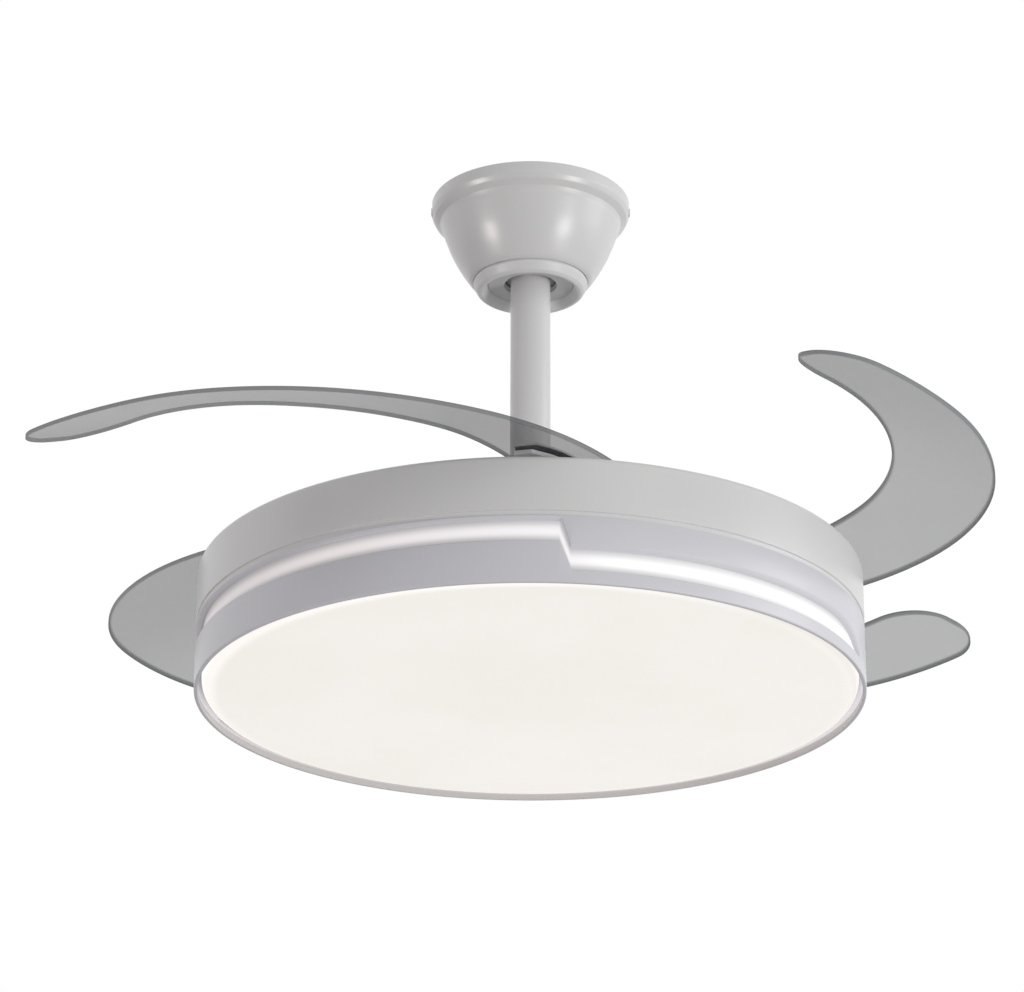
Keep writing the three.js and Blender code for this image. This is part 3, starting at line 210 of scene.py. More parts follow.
no_light, full_light = (0, 0, 0, 1), (1, 1, 1, 1)
world = bpy.data.worlds.new("studio")
world.use_nodes = True
bpy.context.scene.world = world
air = Graph(world.node_tree)
world_output = next(n for n in world.node_tree.nodes if n.type == "OUTPUT_WORLD")
for spare in [n for n in world.node_tree.nodes if n.type == "BACKGROUND"]:
    world.node_tree.nodes.remove(spare)
seen = air.node("ShaderNodeLightPath", None, None, "Is Camera Ray")
for ray in ("Is Glossy Ray", "Is Transmission Ray"):
    seen = seen.most(air.node("ShaderNodeLightPath", None, None, ray))
lit = air.node("ShaderNodeBackground", None, {"Color": full_light, "Strength": 0.45})
shown = air.node("ShaderNodeBackground", None, {"Color": full_light, "Strength": 1.0})
air.put(world_output.inputs[0], air.node("ShaderNodeMixShader", None, {0: seen, 1: lit, 2: shown}))

floor_mesh = bpy.data.meshes.new("floor")
reach, drop = 30.0, -4.2
floor_corners = [(reach * x, reach * y, drop) for x, y in ((-1, -1), (1, -1), (1, 1), (-1, 1))]
floor_mesh.from_pydata(floor_corners, [], [(0, 1, 2, 3)])
floor = in_scene("floor", floor_mesh)
floor_paint, floor_graph, floor_shader = new_material("floor_paint")
floor_tone = floor_graph.mix(floor_graph.noise(0.8), colour(233, 233, 232), colour(240, 240, 239))
floor_graph.put(floor_shader["Base Color"], floor_tone)
floor_shader["Roughness"].default_value = 0.9
own_place = floor_graph.own_place()
from_middle = floor_graph.node("ShaderNodeVectorMath", {"operation": "LENGTH"}, {0: own_place}, "Value")
to_camera = floor_graph.node("ShaderNodeLightPath", None, None, "Is Camera Ray")
fade_from, fade_to, near_glow = 6.0, 26.0, 0.42  # the floor that the camera sees turns white with distance
fade = floor_graph.spread(from_middle, fade_from, fade_to, near_glow, 1.0) * to_camera
floor_graph.put(floor_shader["Emission Color"], floor_graph.mix(fade, no_light, full_light))
floor_shader["Emission Strength"].default_value = 1.0
floor_mesh.materials.append(floor_paint)

# ---- Canopy ----
# Bowl of spun steel sheet with a stepped rim, painted semi-gloss white. It covers the hanger bracket and is
# held to its ears by a screw on each side.
MM = 0.001


def rounded(points, steps=4):
    """A closed outline of (radius, height, corner radius) points with its corners rounded, as Vectors."""
    outline = []
    for number, (radius, height, corner) in enumerate(points):
        here = Vector((radius, height))
        before = Vector(points[number - 1][:2])
        after = Vector(points[(number + 1) % len(points)][:2])
        into, out = before - here, after - here
        half = into.angle(out) / 2
        run = min(corner / math.tan(half), 0.45 * into.length, 0.45 * out.length) if corner else 0
        if run < 1e-4:
            outline.append(here)
            continue
        start, end = here + into.normalized() * run, here + out.normalized() * run
        for step in range(steps + 1):
            share = step / steps
            outline.append(start.lerp(here, share).lerp(here.lerp(end, share), share))
    return outline


def through(points, steps=6):
    """A smooth line through points."""
    line = []
    for number in range(len(points) - 1):
        start, end = Vector(points[number]), Vector(points[number + 1])
        before = Vector(points[max(number - 1, 0)])
        after = Vector(points[min(number + 2, len(points) - 1)])
        for step in range(steps):
            t = step / steps
            line.append(
                0.5
                * (
                    2 * start
                    + (end - before) * t
                    + (2 * before - 5 * start + 4 * end - after) * t**2
                    + (3 * start - before - 3 * end + after) * t**3
                )
            )
    line.append(Vector(points[-1]))
    return line


def spun(outline, steps=192):
    """A body turned about Z from a closed outline of (radius, height) points in millimetres."""
    body = bmesh.new()
    rings = []
    for radius, height in outline:
        if radius < 1e-6:
            rings.append([body.verts.new((0, 0, height * MM))] * steps)
            continue
        turns = [2 * math.pi * step / steps for step in range(steps)]
        places = [(radius * MM * math.cos(t), radius * MM * math.sin(t), height * MM) for t in turns]
        rings.append([body.verts.new(place) for place in places])
    for number, ring in enumerate(rings):
        following = rings[(number + 1) % len(rings)]
        for step in range(steps):
            after = (step + 1) % steps
            corners = []
            for corner in (ring[step], ring[after], following[after], following[step]):
                if corner not in corners:
                    corners.append(corner)
            if len(corners) > 2:
                body.faces.new(corners)
    bmesh.ops.recalc_face_normals(body, faces=body.faces)
    return body


def as_mesh(body, name):
    """The mesh of a body that is being built, or a mesh as it is, under a new name."""
    if isinstance(body, bpy.types.Mesh):
        body.name = name
        return body
    mesh = bpy.data.meshes.new(name)
    body.to_mesh(mesh)
    body.free()
    return mesh


def piece(name, body, material, rides, stands_for=(), sharp=32):
    """A finished piece from mesh code: smooth but for its sharp edges, on its CAD body."""
    mesh = as_mesh(body, name)
    mesh.polygons.foreach_set("use_smooth", [True] * len(mesh.polygons))
    mesh.set_sharp_from_angle(angle=math.radians(sharp))
    mesh.materials.clear()
    mesh.materials.append(material)
    made = in_scene(name, mesh)
    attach(made, rides)
    if stands_for:
        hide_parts(*stands_for)


def evaluated(work):
    """The plain mesh that an object's modifiers make of it."""
    return bpy.data.meshes.new_from_object(work.evaluated_get(bpy.context.evaluated_depsgraph_get()))


def changed(body, *modifiers):
    """A body after modifiers of (kind, settings), as a mesh. A cutting body is given as it is."""
    spent = [in_scene("work", as_mesh(body, "work"))]
    for kind, settings in modifiers:
        modifier = spent[0].modifiers.new(kind.lower(), kind)
        for name, setting in settings.items():
            if isinstance(setting, bmesh.types.BMesh):
                setting = in_scene("cutter", as_mesh(setting, "cutter"))
                spent.append(setting)
            setattr(modifier, name, setting)
    result = evaluated(spent[0])
    for used in spent:
        bpy.data.objects.remove(used)
    return result


def dimmed(tone, share):
    """A tone with its light brought down to a share."""
    return tuple(level * share for level in tone[:3]) + (1,)


def grained(graph, shader, grain, detail, strength, depth):
    """Fine relief in the surface: a noise of so many grains per metre, its depth in metres."""
    relief = {"Strength": strength, "Distance": depth, "Height": graph.noise(grain, detail)}
    graph.put(shader["Normal"], graph.node("ShaderNodeBump", None, relief))


def paint(name, tone, roughness):
    """Sprayed and baked paint: a fine orange peel, a slight drift of tone, dust on what faces up."""
    material, graph, shader = new_material(name)
    drift = graph.spread(graph.noise(9, 2), 0.2, 0.8)
    base = graph.mix(drift, tone, dimmed(tone, 0.965))
    up = graph.parts(graph.node("ShaderNodeNewGeometry", None, None, "Normal"))[2]
    most_dust = 0.3
    settled = graph.spread(up, 0.75, 1.0) * graph.spread(graph.noise(22, 6), 0.3, 0.8, 0.3, 1.0) * most_dust
    graph.put(shader["Base Color"], graph.mix(settled, base, colour(176, 170, 160)))
    patchy = graph.spread(graph.noise(60, 2), 0.2, 0.8, roughness - 0.02, roughness + 0.02)
    graph.put(shader["Roughness"], patchy + settled * 0.3)
    grained(graph, shader, 620, 1.5, 0.025, 0.0004)
    return material


white_paint = paint("white_paint", colour(226, 225, 225), 0.305)

canopy_radius, canopy_sheet = 77.3, 1.6
ear_height, ear_bore = -6.0, 2.3  # middle and radius of the holes for the canopy screws
canopy_rim = [(canopy_radius, 0, 0.4), (canopy_radius, -9, 3)]
canopy_rim += [(75.2, -13, 2.5), (70.8, -16.4, 1.6), (69.4, -20, 1.2)]
canopy_bowl = through([(69.2, -21), (64.1, -35), (60.4, -43.5), (55.4, -53), (48.6, -63.5), (45.4, -66.3)])
canopy_outer = canopy_rim + [(r, z, 0) for r, z in canopy_bowl]
canopy_inner = [(r - canopy_sheet, z, 0) for r, z, _ in canopy_outer]
canopy_outline = rounded(canopy_outer + [(44.8, -66.6, 0), (44.8, -65.4, 0)] + canopy_inner[:-1][::-1])
canopy_holes = bmesh.new()
for side in (-1, 1):
    at_ear = Matrix.Translation((side * canopy_radius * MM, 0, ear_height * MM))
    bmesh.ops.create_cone(
        canopy_holes,
        cap_ends=True,
        segments=24,
        radius1=ear_bore * MM,
        radius2=ear_bore * MM,
        depth=12 * MM,
        matrix=at_ear @ Matrix.Rotation(math.pi / 2, 4, "Y"),
    )
drilled = {"operation": "DIFFERENCE", "solver": "EXACT", "object": canopy_holes}
canopy_body = changed(spun(canopy_outline), ("BOOLEAN", drilled))
piece("canopy_shell", canopy_body, white_paint, "ceiling_fixture", ["canopy"])


def new_tree(name, sizes):
    """A Geometry Nodes tree with a named input for each size: the tree, its graph and its inputs."""
    tree = bpy.data.node_groups.new(name, "GeometryNodeTree")
    tree.interface.new_socket("Geometry", in_out="OUTPUT", socket_type="NodeSocketGeometry")
    tree.interface.new_socket("Geometry", in_out="INPUT", socket_type="NodeSocketGeometry")
    for label, size in sizes.items():
        kind = "NodeSocketInt" if isinstance(size, int) else "NodeSocketFloat"
        tree.interface.new_socket(label, in_out="INPUT", socket_type=kind).default_value = size
    tree.interface.new_socket("Finish", in_out="INPUT", socket_type="NodeSocketMaterial")
    graph = Graph(tree)
    given = tree.nodes.new("NodeGroupInput")
    return tree, graph, {socket.name: Value(graph, socket) for socket in given.outputs if socket.name}


def close_tree(graph, geometry, finish):
    """Ends a tree: its instances made real, its material set."""
    real = graph.node("GeometryNodeRealizeInstances", None, {"Geometry": geometry})
    dressed = graph.node("GeometryNodeSetMaterial", None, {"Geometry": real, "Material": finish})
    ending = graph.tree.nodes.new("NodeGroupOutput")
    graph.tree.links.new(dressed.socket, ending.inputs[0])


def grown(tree, material, values=None, carrier=None):
    """The plain mesh that a tree makes with these values of its named inputs."""
    work = in_scene("work", carrier or bpy.data.meshes.new("work"))
    modifier = work.modifiers.new("tree", "NODES")
    modifier.node_group = tree
    sockets = {s.name: s.identifier for s in tree.interface.items_tree if s.in_out == "INPUT"}
    for name, value in {**(values or {}), "Finish": material}.items():
        modifier[sockets[name]] = value
    mesh = evaluated(work)
    bpy.data.objects.remove(work)
    return mesh


def moved(graph, geometry, shift=(0, 0, 0), turn=0.0):
    """Geometry turned about Z and then shifted. Each part of the shift is a number or a value."""
    where = {"Geometry": geometry, "Translation": graph.vector(*shift), "Rotation": graph.vector(z=turn)}
    return graph.node("GeometryNodeTransform", None, where)


def block(graph, *sides):
    return graph.node("GeometryNodeMeshCube", None, {"Size": graph.vector(*sides)})


def peg(graph, radius, length, facets):
    shape = {"Vertices": facets, "Radius": radius, "Depth": length}
    return graph.node("GeometryNodeMeshCylinder", None, shape)


def cut_or_joined(graph, operation, first, *others):
    """Mesh Boolean of closed meshes."""
    made = graph.node("GeometryNodeMeshBoolean", {"operation": operation, "solver": "EXACT"})
    sockets = made.socket.node.inputs
    if operation == "DIFFERENCE":
        graph.tree.links.new(first.socket, sockets[0])
    else:
        others = (first, *others)
    for other in others:
        graph.tree.links.new(other.socket, sockets[1])
    return made


screw_tree, screws, size = new_tree(
    "cross_head_screws",
    {
        "Head radius": 0.0034,
        "Head height": 0.0006,
        "Dome": 0.3,
        "Shank radius": 0.002,
        "Shank length": 0.0104,
        "Recess reach": 0.0019,
        "Recess width": 0.0007,
        "Recess depth": 0.0004,
    },
)
disc = screws.node(
    "GeometryNodeMeshCylinder",
    {"fill_type": "TRIANGLE_FAN"},
    {"Vertices": 32, "Fill Segments": 4, "Radius": size["Head radius"], "Depth": size["Head height"]},
)
x, y, z = screws.parts(screws.node("GeometryNodeInputPosition"))
off_centre = (x * x + y * y) / (size["Head radius"] * size["Head radius"])
domed = (z / size["Head height"] + 0.5) * size["Head height"] * (1.0 - size["Dome"] * off_centre)
dome = {"Geometry": disc, "Position": screws.vector(x, y, domed)}
head = screws.node("GeometryNodeSetPosition", None, dome)
into_head = 0.0001
shank = peg(screws, size["Shank radius"], size["Shank length"], 20)
shank = moved(screws, shank, (0, 0, size["Shank length"] * -0.5 + into_head))
bar = block(screws, size["Recess reach"] * 2.0, size["Recess width"], size["Recess depth"] * 2.0)
bars = [moved(screws, bar, (0, 0, size["Head height"]), turn) for turn in (0.0, math.pi / 2)]
screw = cut_or_joined(screws, "DIFFERENCE", cut_or_joined(screws, "UNION", head, shank), *bars)
facing = screws.node("GeometryNodeInputNamedAttribute", {"data_type": "FLOAT_VECTOR"}, {"Name": "facing"})
facing = screws.node("FunctionNodeAlignRotationToVector", {"axis": "Z"}, {"Vector": facing})
driven = {"Points": size["Geometry"], "Instance": screw, "Rotation": facing}
close_tree(screws, screws.node("GeometryNodeInstanceOnPoints", None, driven), size["Finish"])


def screws_at(places, material, **sizes):
    """Screws with the undersides of their heads at places of (point in millimetres, direction)."""
    carrier = bpy.data.meshes.new("screw_places")
    carrier.from_pydata([Vector(point) * MM for point, _ in places], [], [])
    directions = carrier.attributes.new("facing", "FLOAT_VECTOR", "POINT")
    for number, (_, direction) in enumerate(places):
        directions.data[number].vector = direction
    labelled = {name.replace("_", " ").capitalize(): value for name, value in sizes.items()}
    return grown(screw_tree, material, labelled, carrier)


screw_seat = canopy_radius + 0.06
for side, name in ((-1, "left"), (1, "right")):
    cover_screw = screws_at([((side * screw_seat, 0, ear_height), (side, 0, 0))], white_paint)
    stands_for = [f"canopy_screw_{name}"]
    piece(f"cover_screw_{name}", cover_screw, white_paint, "ceiling_fixture", stands_for)

# ---- Canopy trim ----
# Round cup of moulded plastic that snaps into the mouth of the canopy and closes it round the rod.
def plastic(name, tone, roughness=0.42):
    """Moulded plastic: a fine spark-eroded grain and a slight drift of tone."""
    material, graph, shader = new_material(name)
    drift = graph.spread(graph.noise(25, 3), 0.3, 0.7)
    graph.put(shader["Base Color"], graph.mix(drift, tone, dimmed(tone, 0.94)))
    patchy = graph.spread(graph.noise(90, 3), 0.3, 0.7, roughness - 0.05, roughness + 0.06)
    graph.put(shader["Roughness"], patchy)
    grained(graph, shader, 1900, 2, 0.08, 0.0003)
    return material


white_plastic = plastic("white_plastic", colour(229, 228, 229))
trim_outline = rounded(
    [
        (20, -67, 0.3),
        (32.7, -67, 1.2),
        (37.3, -76, 0.7),
        (39.3, -76, 0.7),
        (41.5, -74.4, 1.5),
        (44.5, -69.0, 1.2),
        (44.5, -67.6, 0.5),
        (43.7, -67.2, 0.3),
        (43.7, -63.4, 0.3),
        (42.1, -63.4, 0.3),
        (42.1, -68.6, 0.8),
        (39.0, -74, 0.8),
        (38.4, -74, 0.4),
        (34.2, -65, 1.2),
        (20, -65, 0.3),
    ]
)
piece("canopy_cup", spun(trim_outline), white_plastic, "ceiling_fixture", ["canopy_trim"])
# Painted shade: a grey foam ring on the floor of the cup's recess and a grey foam disc on the rod above it
# darken the opening round the rod. They stand for the shade in the recess.
recess_shade_foam = plastic("recess_shade_grey", colour(212, 211, 213), 0.85)
recess_shade_ring_outline = rounded([(20.4, -69.2, 0.6), (33.4, -69.2, 0.8), (32.6, -67.1, 0.3), (20.4, -67.1, 0.3)])
piece("recess_shade_ring", spun(recess_shade_ring_outline), recess_shade_foam, "ceiling_fixture")
recess_shade_disc_outline = rounded([(15.7, -62.2, 0.3), (26.5, -62.2, 0.5), (26.5, -61.0, 0.5), (15.7, -61.0, 0.3)])
piece("recess_shade_disc", spun(recess_shade_disc_outline, 96), recess_shade_foam, "pendant")

# ---- Bracket, ball and receiver ----
# Pressed and zinc-plated steel bracket on the ceiling. Its cradle carries the nylon ball on top of the rod.
# The remote control's receiver and a terminal block are fixed above it.
def metal(name, tone, roughness, grain=900, metallic=1.0, strength=0.08):
    """Bare metal: fine scratches and patches of tarnish."""
    material, graph, shader = new_material(name)
    patches = graph.spread(graph.noise(45, 4), 0.3, 0.7)
    graph.put(shader["Base Color"], graph.mix(patches, tone, dimmed(tone, 0.82)))
    rubbed = graph.spread(graph.noise(160, 3), 0.3, 0.7, roughness - 0.07, roughness + 0.08)
    graph.put(shader["Roughness"], rubbed)
    shader["Metallic"].default_value = metallic
    grained(graph, shader, grain, 3, strength, 0.0003)
    return material


record = frame["record"]
slot_of = {part["node"]: part["material_slot"] for part in record["subparts"]}
body_of = {name: body for body, members in record["behaviour"]["bodies"].items() for name in members}
weld = 2e-6  # metres between points that are taken for one


def edge_break(width, angle):
    """The bevel that breaks edges sharper than an angle in degrees, its width in millimetres."""
    sharper = {"limit_method": "ANGLE", "angle_limit": math.radians(angle)}
    return "BEVEL", {"width": width * MM, "segments": 2, **sharper}


def upright_corner(edge):
    """Whether an edge stands nearly upright and turns by 15 to 80 degrees."""
    if not edge.is_manifold:
        return False
    along = (edge.verts[0].co - edge.verts[1].co).normalized()
    return abs(along.z) > 0.8 and math.radians(15) < edge.calc_face_angle() < math.radians(80)


def finished(name, material, edge=0.3, sharp=32, corner=0.0):
    """A CAD node's own shape, merged and cleaned, with its edges broken and its upright corners rounded."""
    body = bmesh.new()
    body.from_mesh(nodes[name].data)
    bmesh.ops.remove_doubles(body, verts=body.verts, dist=weld)
    bmesh.ops.dissolve_limit(body, angle_limit=math.radians(1), verts=body.verts, edges=body.edges)
    if corner:
        bmesh.ops.bevel(
            body,
            geom=[e for e in body.edges if upright_corner(e)],
            offset=corner * MM,
            segments=4,
            profile=0.5,
            affect="EDGES",
            clamp_overlap=True,
        )
    mesh = changed(body, edge_break(edge, 38))
    piece(f"{name}_finished", mesh, material, body_of[name], [name], sharp)


def turned_piece(name, node, points, material, steps=96, centre=(0, 0)):
    """A piece turned about Z that stands for a CAD node."""
    body = spun(rounded(points, 3), steps)
    bmesh.ops.translate(body, vec=(centre[0] * MM, centre[1] * MM, 0), verts=body.verts)
    piece(name, body, material, body_of[node], [node])


def plain_section(bore, radius, low, high, edge):
    """Outline of a plain ring or tube with broken edges."""
    return [(r, z, edge) for r, z in ((bore, low), (radius, low), (radius, high), (bore, high))]


def tube(name, node, bore, material, edge=0.4):
    """A plain tube in the place of a CAD node, about the fan's axis."""
    low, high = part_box(node)
    section = plain_section(bore, high.x / MM, low.z / MM, high.z / MM, edge)
    turned_piece(name, node, section, material)


zinc = metal("zinc_steel", colour(214, 215, 218), 0.38, 1500, 0.5)
cast = metal("cast_aluminium", colour(236, 237, 238), 0.55, 700, 0.05, 0.2)
nylon = plastic("natural_nylon", colour(226, 223, 212), 0.5)
finished("hanger_bracket", zinc)
finished("hanger_ball", nylon, 0.4)
finished("remote_receiver", white_plastic, 0.5)
finished("terminal_block", nylon, 0.3)
finished("ball_pin", zinc, 0.3)
lid_height, lid_x, lid_y = -2.8, 21, 41
lid_screws = screws_at(
    [((x, y, lid_height), (0, 0, 1)) for x in (-lid_x, lid_x) for y in (-lid_y, lid_y)],
    zinc,
    head_radius=0.0022,
    head_height=0.0012,
    shank_radius=0.001,
    shank_length=0.004,
    recess_reach=0.0013,
    recess_width=0.0005,
    recess_depth=0.0006,
)
piece("receiver_screws", lid_screws, zinc, "ceiling_fixture")

# ---- Downrod ----
# Drawn steel tube, painted to match, pinned to the ball above and to the shaft coupling below.
rod_low, rod_high = (corner.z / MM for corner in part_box("downrod"))
rod_bore, rod_radius = 13.9, 15.5
rod_outline = rounded(plain_section(rod_bore, rod_radius, rod_low, rod_high, 0.4))
piece("rod_tube", spun(rod_outline, 96), white_paint, "pendant", ["downrod"])

# ---- Coupling cover ----
# Bell of white plastic that slides down the rod and hides the coupling and the motor's neck.
cover_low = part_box("coupling_cover")[0].z / MM
bell_height, bell_wall, bell_bore = 35, 1.8, 16.1
bell = through([(52, 0), (50.6, 10.5), (42, 23.1), (28, 32.2), (18.1, bell_height)], 5)
bell += [Vector((bell_bore, bell_height)), Vector((bell_bore, bell_height - bell_wall))]
bell += [Vector((r - 1.3, z - 1.6)) for r, z in bell[2:-4]][::-1] + [Vector((52 - bell_wall, 0))]
bell = [Vector((r, z + cover_low)) for r, z in bell]
piece("coupling_bell", spun(bell, 128), white_plastic, "pendant", ["coupling_cover"])
finished("shaft_coupling", cast, 0.4)
finished("clevis_pin", zinc, 0.3)
finished("clevis_clip", zinc, 0.1, 60)
tube("shaft_tube", "stator_shaft", bore=5.5, material=zinc)

# ---- Motor ----
# Outer-rotor motor: twelve wound poles on the fixed shaft, magnets in a cast base, a pressed and painted cap
# with cooling vents on top, held by four screws.
cap_top, cap_foot = (corner.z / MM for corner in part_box("motor_cap")[::-1])
pocket_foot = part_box("upper_bearing")[0].z / MM + 0.6
cap_bore, cap_radius, cap_sheet, pocket_bore = 9.7, 81.5, 2.5, 20.6
cap_outline = [
    (cap_bore, cap_top, 0.3),
    (cap_radius - 7, cap_top, 0),
    (cap_radius, cap_top, 6.6),
    (cap_radius, cap_foot, 0.3),
    (cap_radius - cap_sheet, cap_foot, 0.3),
    (cap_radius - cap_sheet, cap_top - cap_sheet, 5),
    (pocket_bore + 3, cap_top - cap_sheet, 0.4),
    (pocket_bore + 3, pocket_foot, 0.3),
    (pocket_bore, pocket_foot, 0.3),
    (pocket_bore, cap_top - cap_sheet, 0.3),
    (cap_bore, cap_top - cap_sheet, 0.3),
]


def round_axis(graph, shape, count):
    """Copies of a shape at even turns about Z."""
    stations = graph.node("GeometryNodeMeshLine", None, {"Count": count, "Offset": (0, 0, 0)})
    turn = graph.node("GeometryNodeInputIndex") * 2.0 * math.pi / count
    set_out = {"Points": stations, "Instance": shape, "Rotation": graph.vector(z=turn)}
    return graph.node("GeometryNodeInstanceOnPoints", None, set_out)


vent_tree, vents, size = new_tree(
    "cooling_vents",
    {
        "Vents": 6,
        "Ring radius": 0.048,
        "Length": 0.020,
        "Width": 0.004,
        "Depth": 0.012,
        "Height": cap_top * MM,
    },
)
slit = block(vents, size["Length"], size["Width"], size["Depth"])
round_end = peg(vents, size["Width"] * 0.5, size["Depth"], 24)
ends = [moved(vents, round_end, (size["Length"] * side, 0, 0)) for side in (-0.5, 0.5)]
slit = moved(vents, cut_or_joined(vents, "UNION", slit, *ends), (size["Ring radius"], 0, size["Height"]))
slits = round_axis(vents, slit, size["Vents"])
slits = vents.node("GeometryNodeRealizeInstances", None, {"Geometry": slits})
close_tree(vents, cut_or_joined(vents, "DIFFERENCE", size["Geometry"], slits), size["Finish"])
cap_body = as_mesh(spun(rounded(cap_outline, 6), 128), "cap")
cap_body = grown(vent_tree, white_paint, None, cap_body)
piece("vented_cap", cap_body, white_paint, "rotor", ["motor_cap"])
screw_circle, screw_height = 66, cap_top - 0.1
cap_turns = [math.radians(45 + 90 * n) for n in range(4)]
cap_screws = screws_at(
    [((screw_circle * math.cos(t), screw_circle * math.sin(t), screw_height), (0, 0, 1)) for t in cap_turns],
    zinc,
    head_radius=0.0034,
    head_height=0.0016,
    shank_length=0.008,
    recess_depth=0.0009,
)
piece("cap_screws", cap_screws, zinc, "rotor")
finished("motor_base", cast, 0.4)

core_lacquer = metal("core_lacquer", colour(92, 84, 78), 0.45, 1200, 0.4)
copper = metal("enamelled_copper", colour(196, 122, 72), 0.36, 2600)
finished("stator_core", core_lacquer, 0.3)


def wire_along(graph, path, steps, radius, facets):
    """Round wire with closed ends, its points put on a path that follows their index."""
    line = graph.node("GeometryNodeMeshLine", None, {"Count": steps + 1, "Offset": (0.001, 0, 0)})
    line = graph.node("GeometryNodeSetPosition", None, {"Geometry": line, "Position": path})
    line = graph.node("GeometryNodeMeshToCurve", None, {"Mesh": line})
    section = graph.node("GeometryNodeCurvePrimitiveCircle", None, {"Resolution": facets, "Radius": radius})
    drawn = {"Curve": line, "Profile Curve": section, "Fill Caps": True}
    return graph.node("GeometryNodeCurveToMesh", None, drawn)


core_low, core_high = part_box("stator_core")
coil_turns, coil_steps = 11, 18
coil_tree, coils, size = new_tree(
    "pole_coils",
    {
        "Poles": 12,
        "Turns": float(coil_turns),
        "Wire radius": 0.00075,
        "Near": 0.0435,
        "Far": 0.060,
        "Half width": 0.0088,
        "Half height": 0.0087,
        "Middle height": (core_low.z + core_high.z) / 2,
    },
)
steps = coil_turns * coil_steps
run = coils.node("GeometryNodeInputIndex") * (1.0 / steps)
turned = run * size["Turns"] * (2 * math.pi)
swing = [turned.math("COSINE"), turned.math("SINE")]
square = [part.math("SIGN") * part.math("ABSOLUTE").math("POWER", 0.5) for part in swing]
wire_path = coils.vector(
    size["Near"] + (size["Far"] - size["Near"]) * run,
    square[0] * size["Half width"],
    square[1] * size["Half height"] + size["Middle height"],
)
coil = wire_along(coils, wire_path, steps, size["Wire radius"], 6)
close_tree(coils, round_axis(coils, coil, size["Poles"]), size["Finish"])
piece("pole_windings", grown(coil_tree, copper), copper, "pendant", (), 60)

dark_plastic = plastic("dark_plastic", colour(46, 47, 50), 0.5)
tube("magnets", "magnet_ring", bore=70.7, material=dark_plastic, edge=0.5)
shaft_radius, bearing_radius, inner_race, outer_race, shield = 8.8, 20, 11.6, 17.4, 0.5
for place in ("lower", "upper"):
    low, high = (corner.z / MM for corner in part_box(f"{place}_bearing"))
    races = [(shaft_radius, low), (inner_race, low), (inner_race, low + shield)]
    races += [(outer_race, low + shield), (outer_race, low), (bearing_radius, low), (bearing_radius, high)]
    races += [(outer_race, high), (outer_race, high - shield)]
    races += [(inner_race, high - shield), (inner_race, high), (shaft_radius, high)]
    turned_piece(f"{place}_ball_bearing", f"{place}_bearing", [(r, z, 0.25) for r, z in races], zinc)
tube("collar", "shaft_collar", shaft_radius, zinc)
tube("washer", "lock_washer", shaft_radius, zinc)
finished("shaft_nut", zinc, 0.5)

# ---- Blade carrier ----
# Steel tray and moulded cover, held apart by four shouldered pins. The blades' arms turn on the pins, and a
# toothed nylon ring round the motor makes them open and close together.
cover_low, cover_high = (corner.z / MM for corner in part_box("carrier_cover"))
cover_bore, cover_radius, groove = 82.1, 150, 0.7
cover_points = [
    (cover_bore, cover_low, 0.3),
    (cover_radius - 1.4, cover_low, 0.8),
    (cover_radius, cover_low + 1.2, 0.4),
    (cover_radius - 1.4, cover_high, 0.8),
    (112.5, cover_high, 0.5),
    (111.3, cover_high - groove, 0.5),
    (99.7, cover_high - groove, 0.5),
    (98.5, cover_high, 0.5),
    (cover_bore, cover_high, 0.3),
]
turned_piece("ribbed_cover", "carrier_cover", cover_points, white_plastic, 192)
finished("carrier_tray", white_paint, 0.3)
finished("timing_gear", nylon, 0.15)
pivot_place, pivot_angle = 129.0, -14.0
pin_radius, shoulder_radius, shoulder_gap = 4, 6.2, 0.3
tray_low, tray_high = (corner.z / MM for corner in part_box("carrier_tray"))
gear_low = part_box("timing_gear")[0].z / MM
pin_points = [
    (0, tray_low, 0),
    (pin_radius, tray_low, 0.4),
    (pin_radius, tray_high + shoulder_gap, 0),
    (shoulder_radius, tray_high + shoulder_gap, 0.2),
    (shoulder_radius, gear_low - shoulder_gap, 0.2),
    (pin_radius, gear_low - shoulder_gap, 0),
    (pin_radius, cover_high + shoulder_gap, 0),
    (7, cover_high + shoulder_gap, 0.3),
    (6.8, cover_high + 2.7, 1.1),
    (2.6, cover_high + 2.7, 0.4),
    (1.8, cover_high + 1.9, 0.3),
    (0, cover_high + 1.9, 0),
]
pivots = [math.radians(pivot_angle + 90 * n) for n in range(4)]
for number, at in enumerate(pivots, 1):
    centre = (pivot_place * math.cos(at), pivot_place * math.sin(at))
    turned_piece(f"shouldered_pin_{number}", f"pivot_pin_{number}", pin_points, zinc, 48, centre)

spring_tree, springs, size = new_tree(
    "return_spring",
    {
        "Coil radius": 0.009,
        "Wire radius": 0.0006,
        "Turns": 2.5,
        "Pitch": 0.0025,
        "Leg": 0.009,
        "Foot height": (tray_high + 0.9) * MM,
        "Pivot radius": pivot_place * MM,
        "Pivot direction": 0.0,
    },
)
steps = 160
run = springs.node("GeometryNodeInputIndex") * (1.0 / steps)
coiled = size["Coil radius"] * size["Turns"] * (2 * math.pi)
reached = run * (coiled + size["Leg"] * 2.0) - size["Leg"]
wound = reached.most(0.0).least(coiled)
past = reached - wound
turned = wound / size["Coil radius"]
wire_path = springs.vector(
    size["Coil radius"] * turned.math("COSINE") - past * turned.math("SINE"),
    size["Coil radius"] * turned.math("SINE") + past * turned.math("COSINE"),
    size["Foot height"] + size["Pitch"] * turned * (0.5 / math.pi),
)
spring = wire_along(springs, wire_path, steps, size["Wire radius"], 10)
on_pin = moved(springs, spring, (size["Pivot radius"], 0, 0))
close_tree(springs, moved(springs, on_pin, (0, 0, 0), size["Pivot direction"]), size["Finish"])
spring_steel = metal("spring_steel", colour(150, 152, 158), 0.36, 2500)
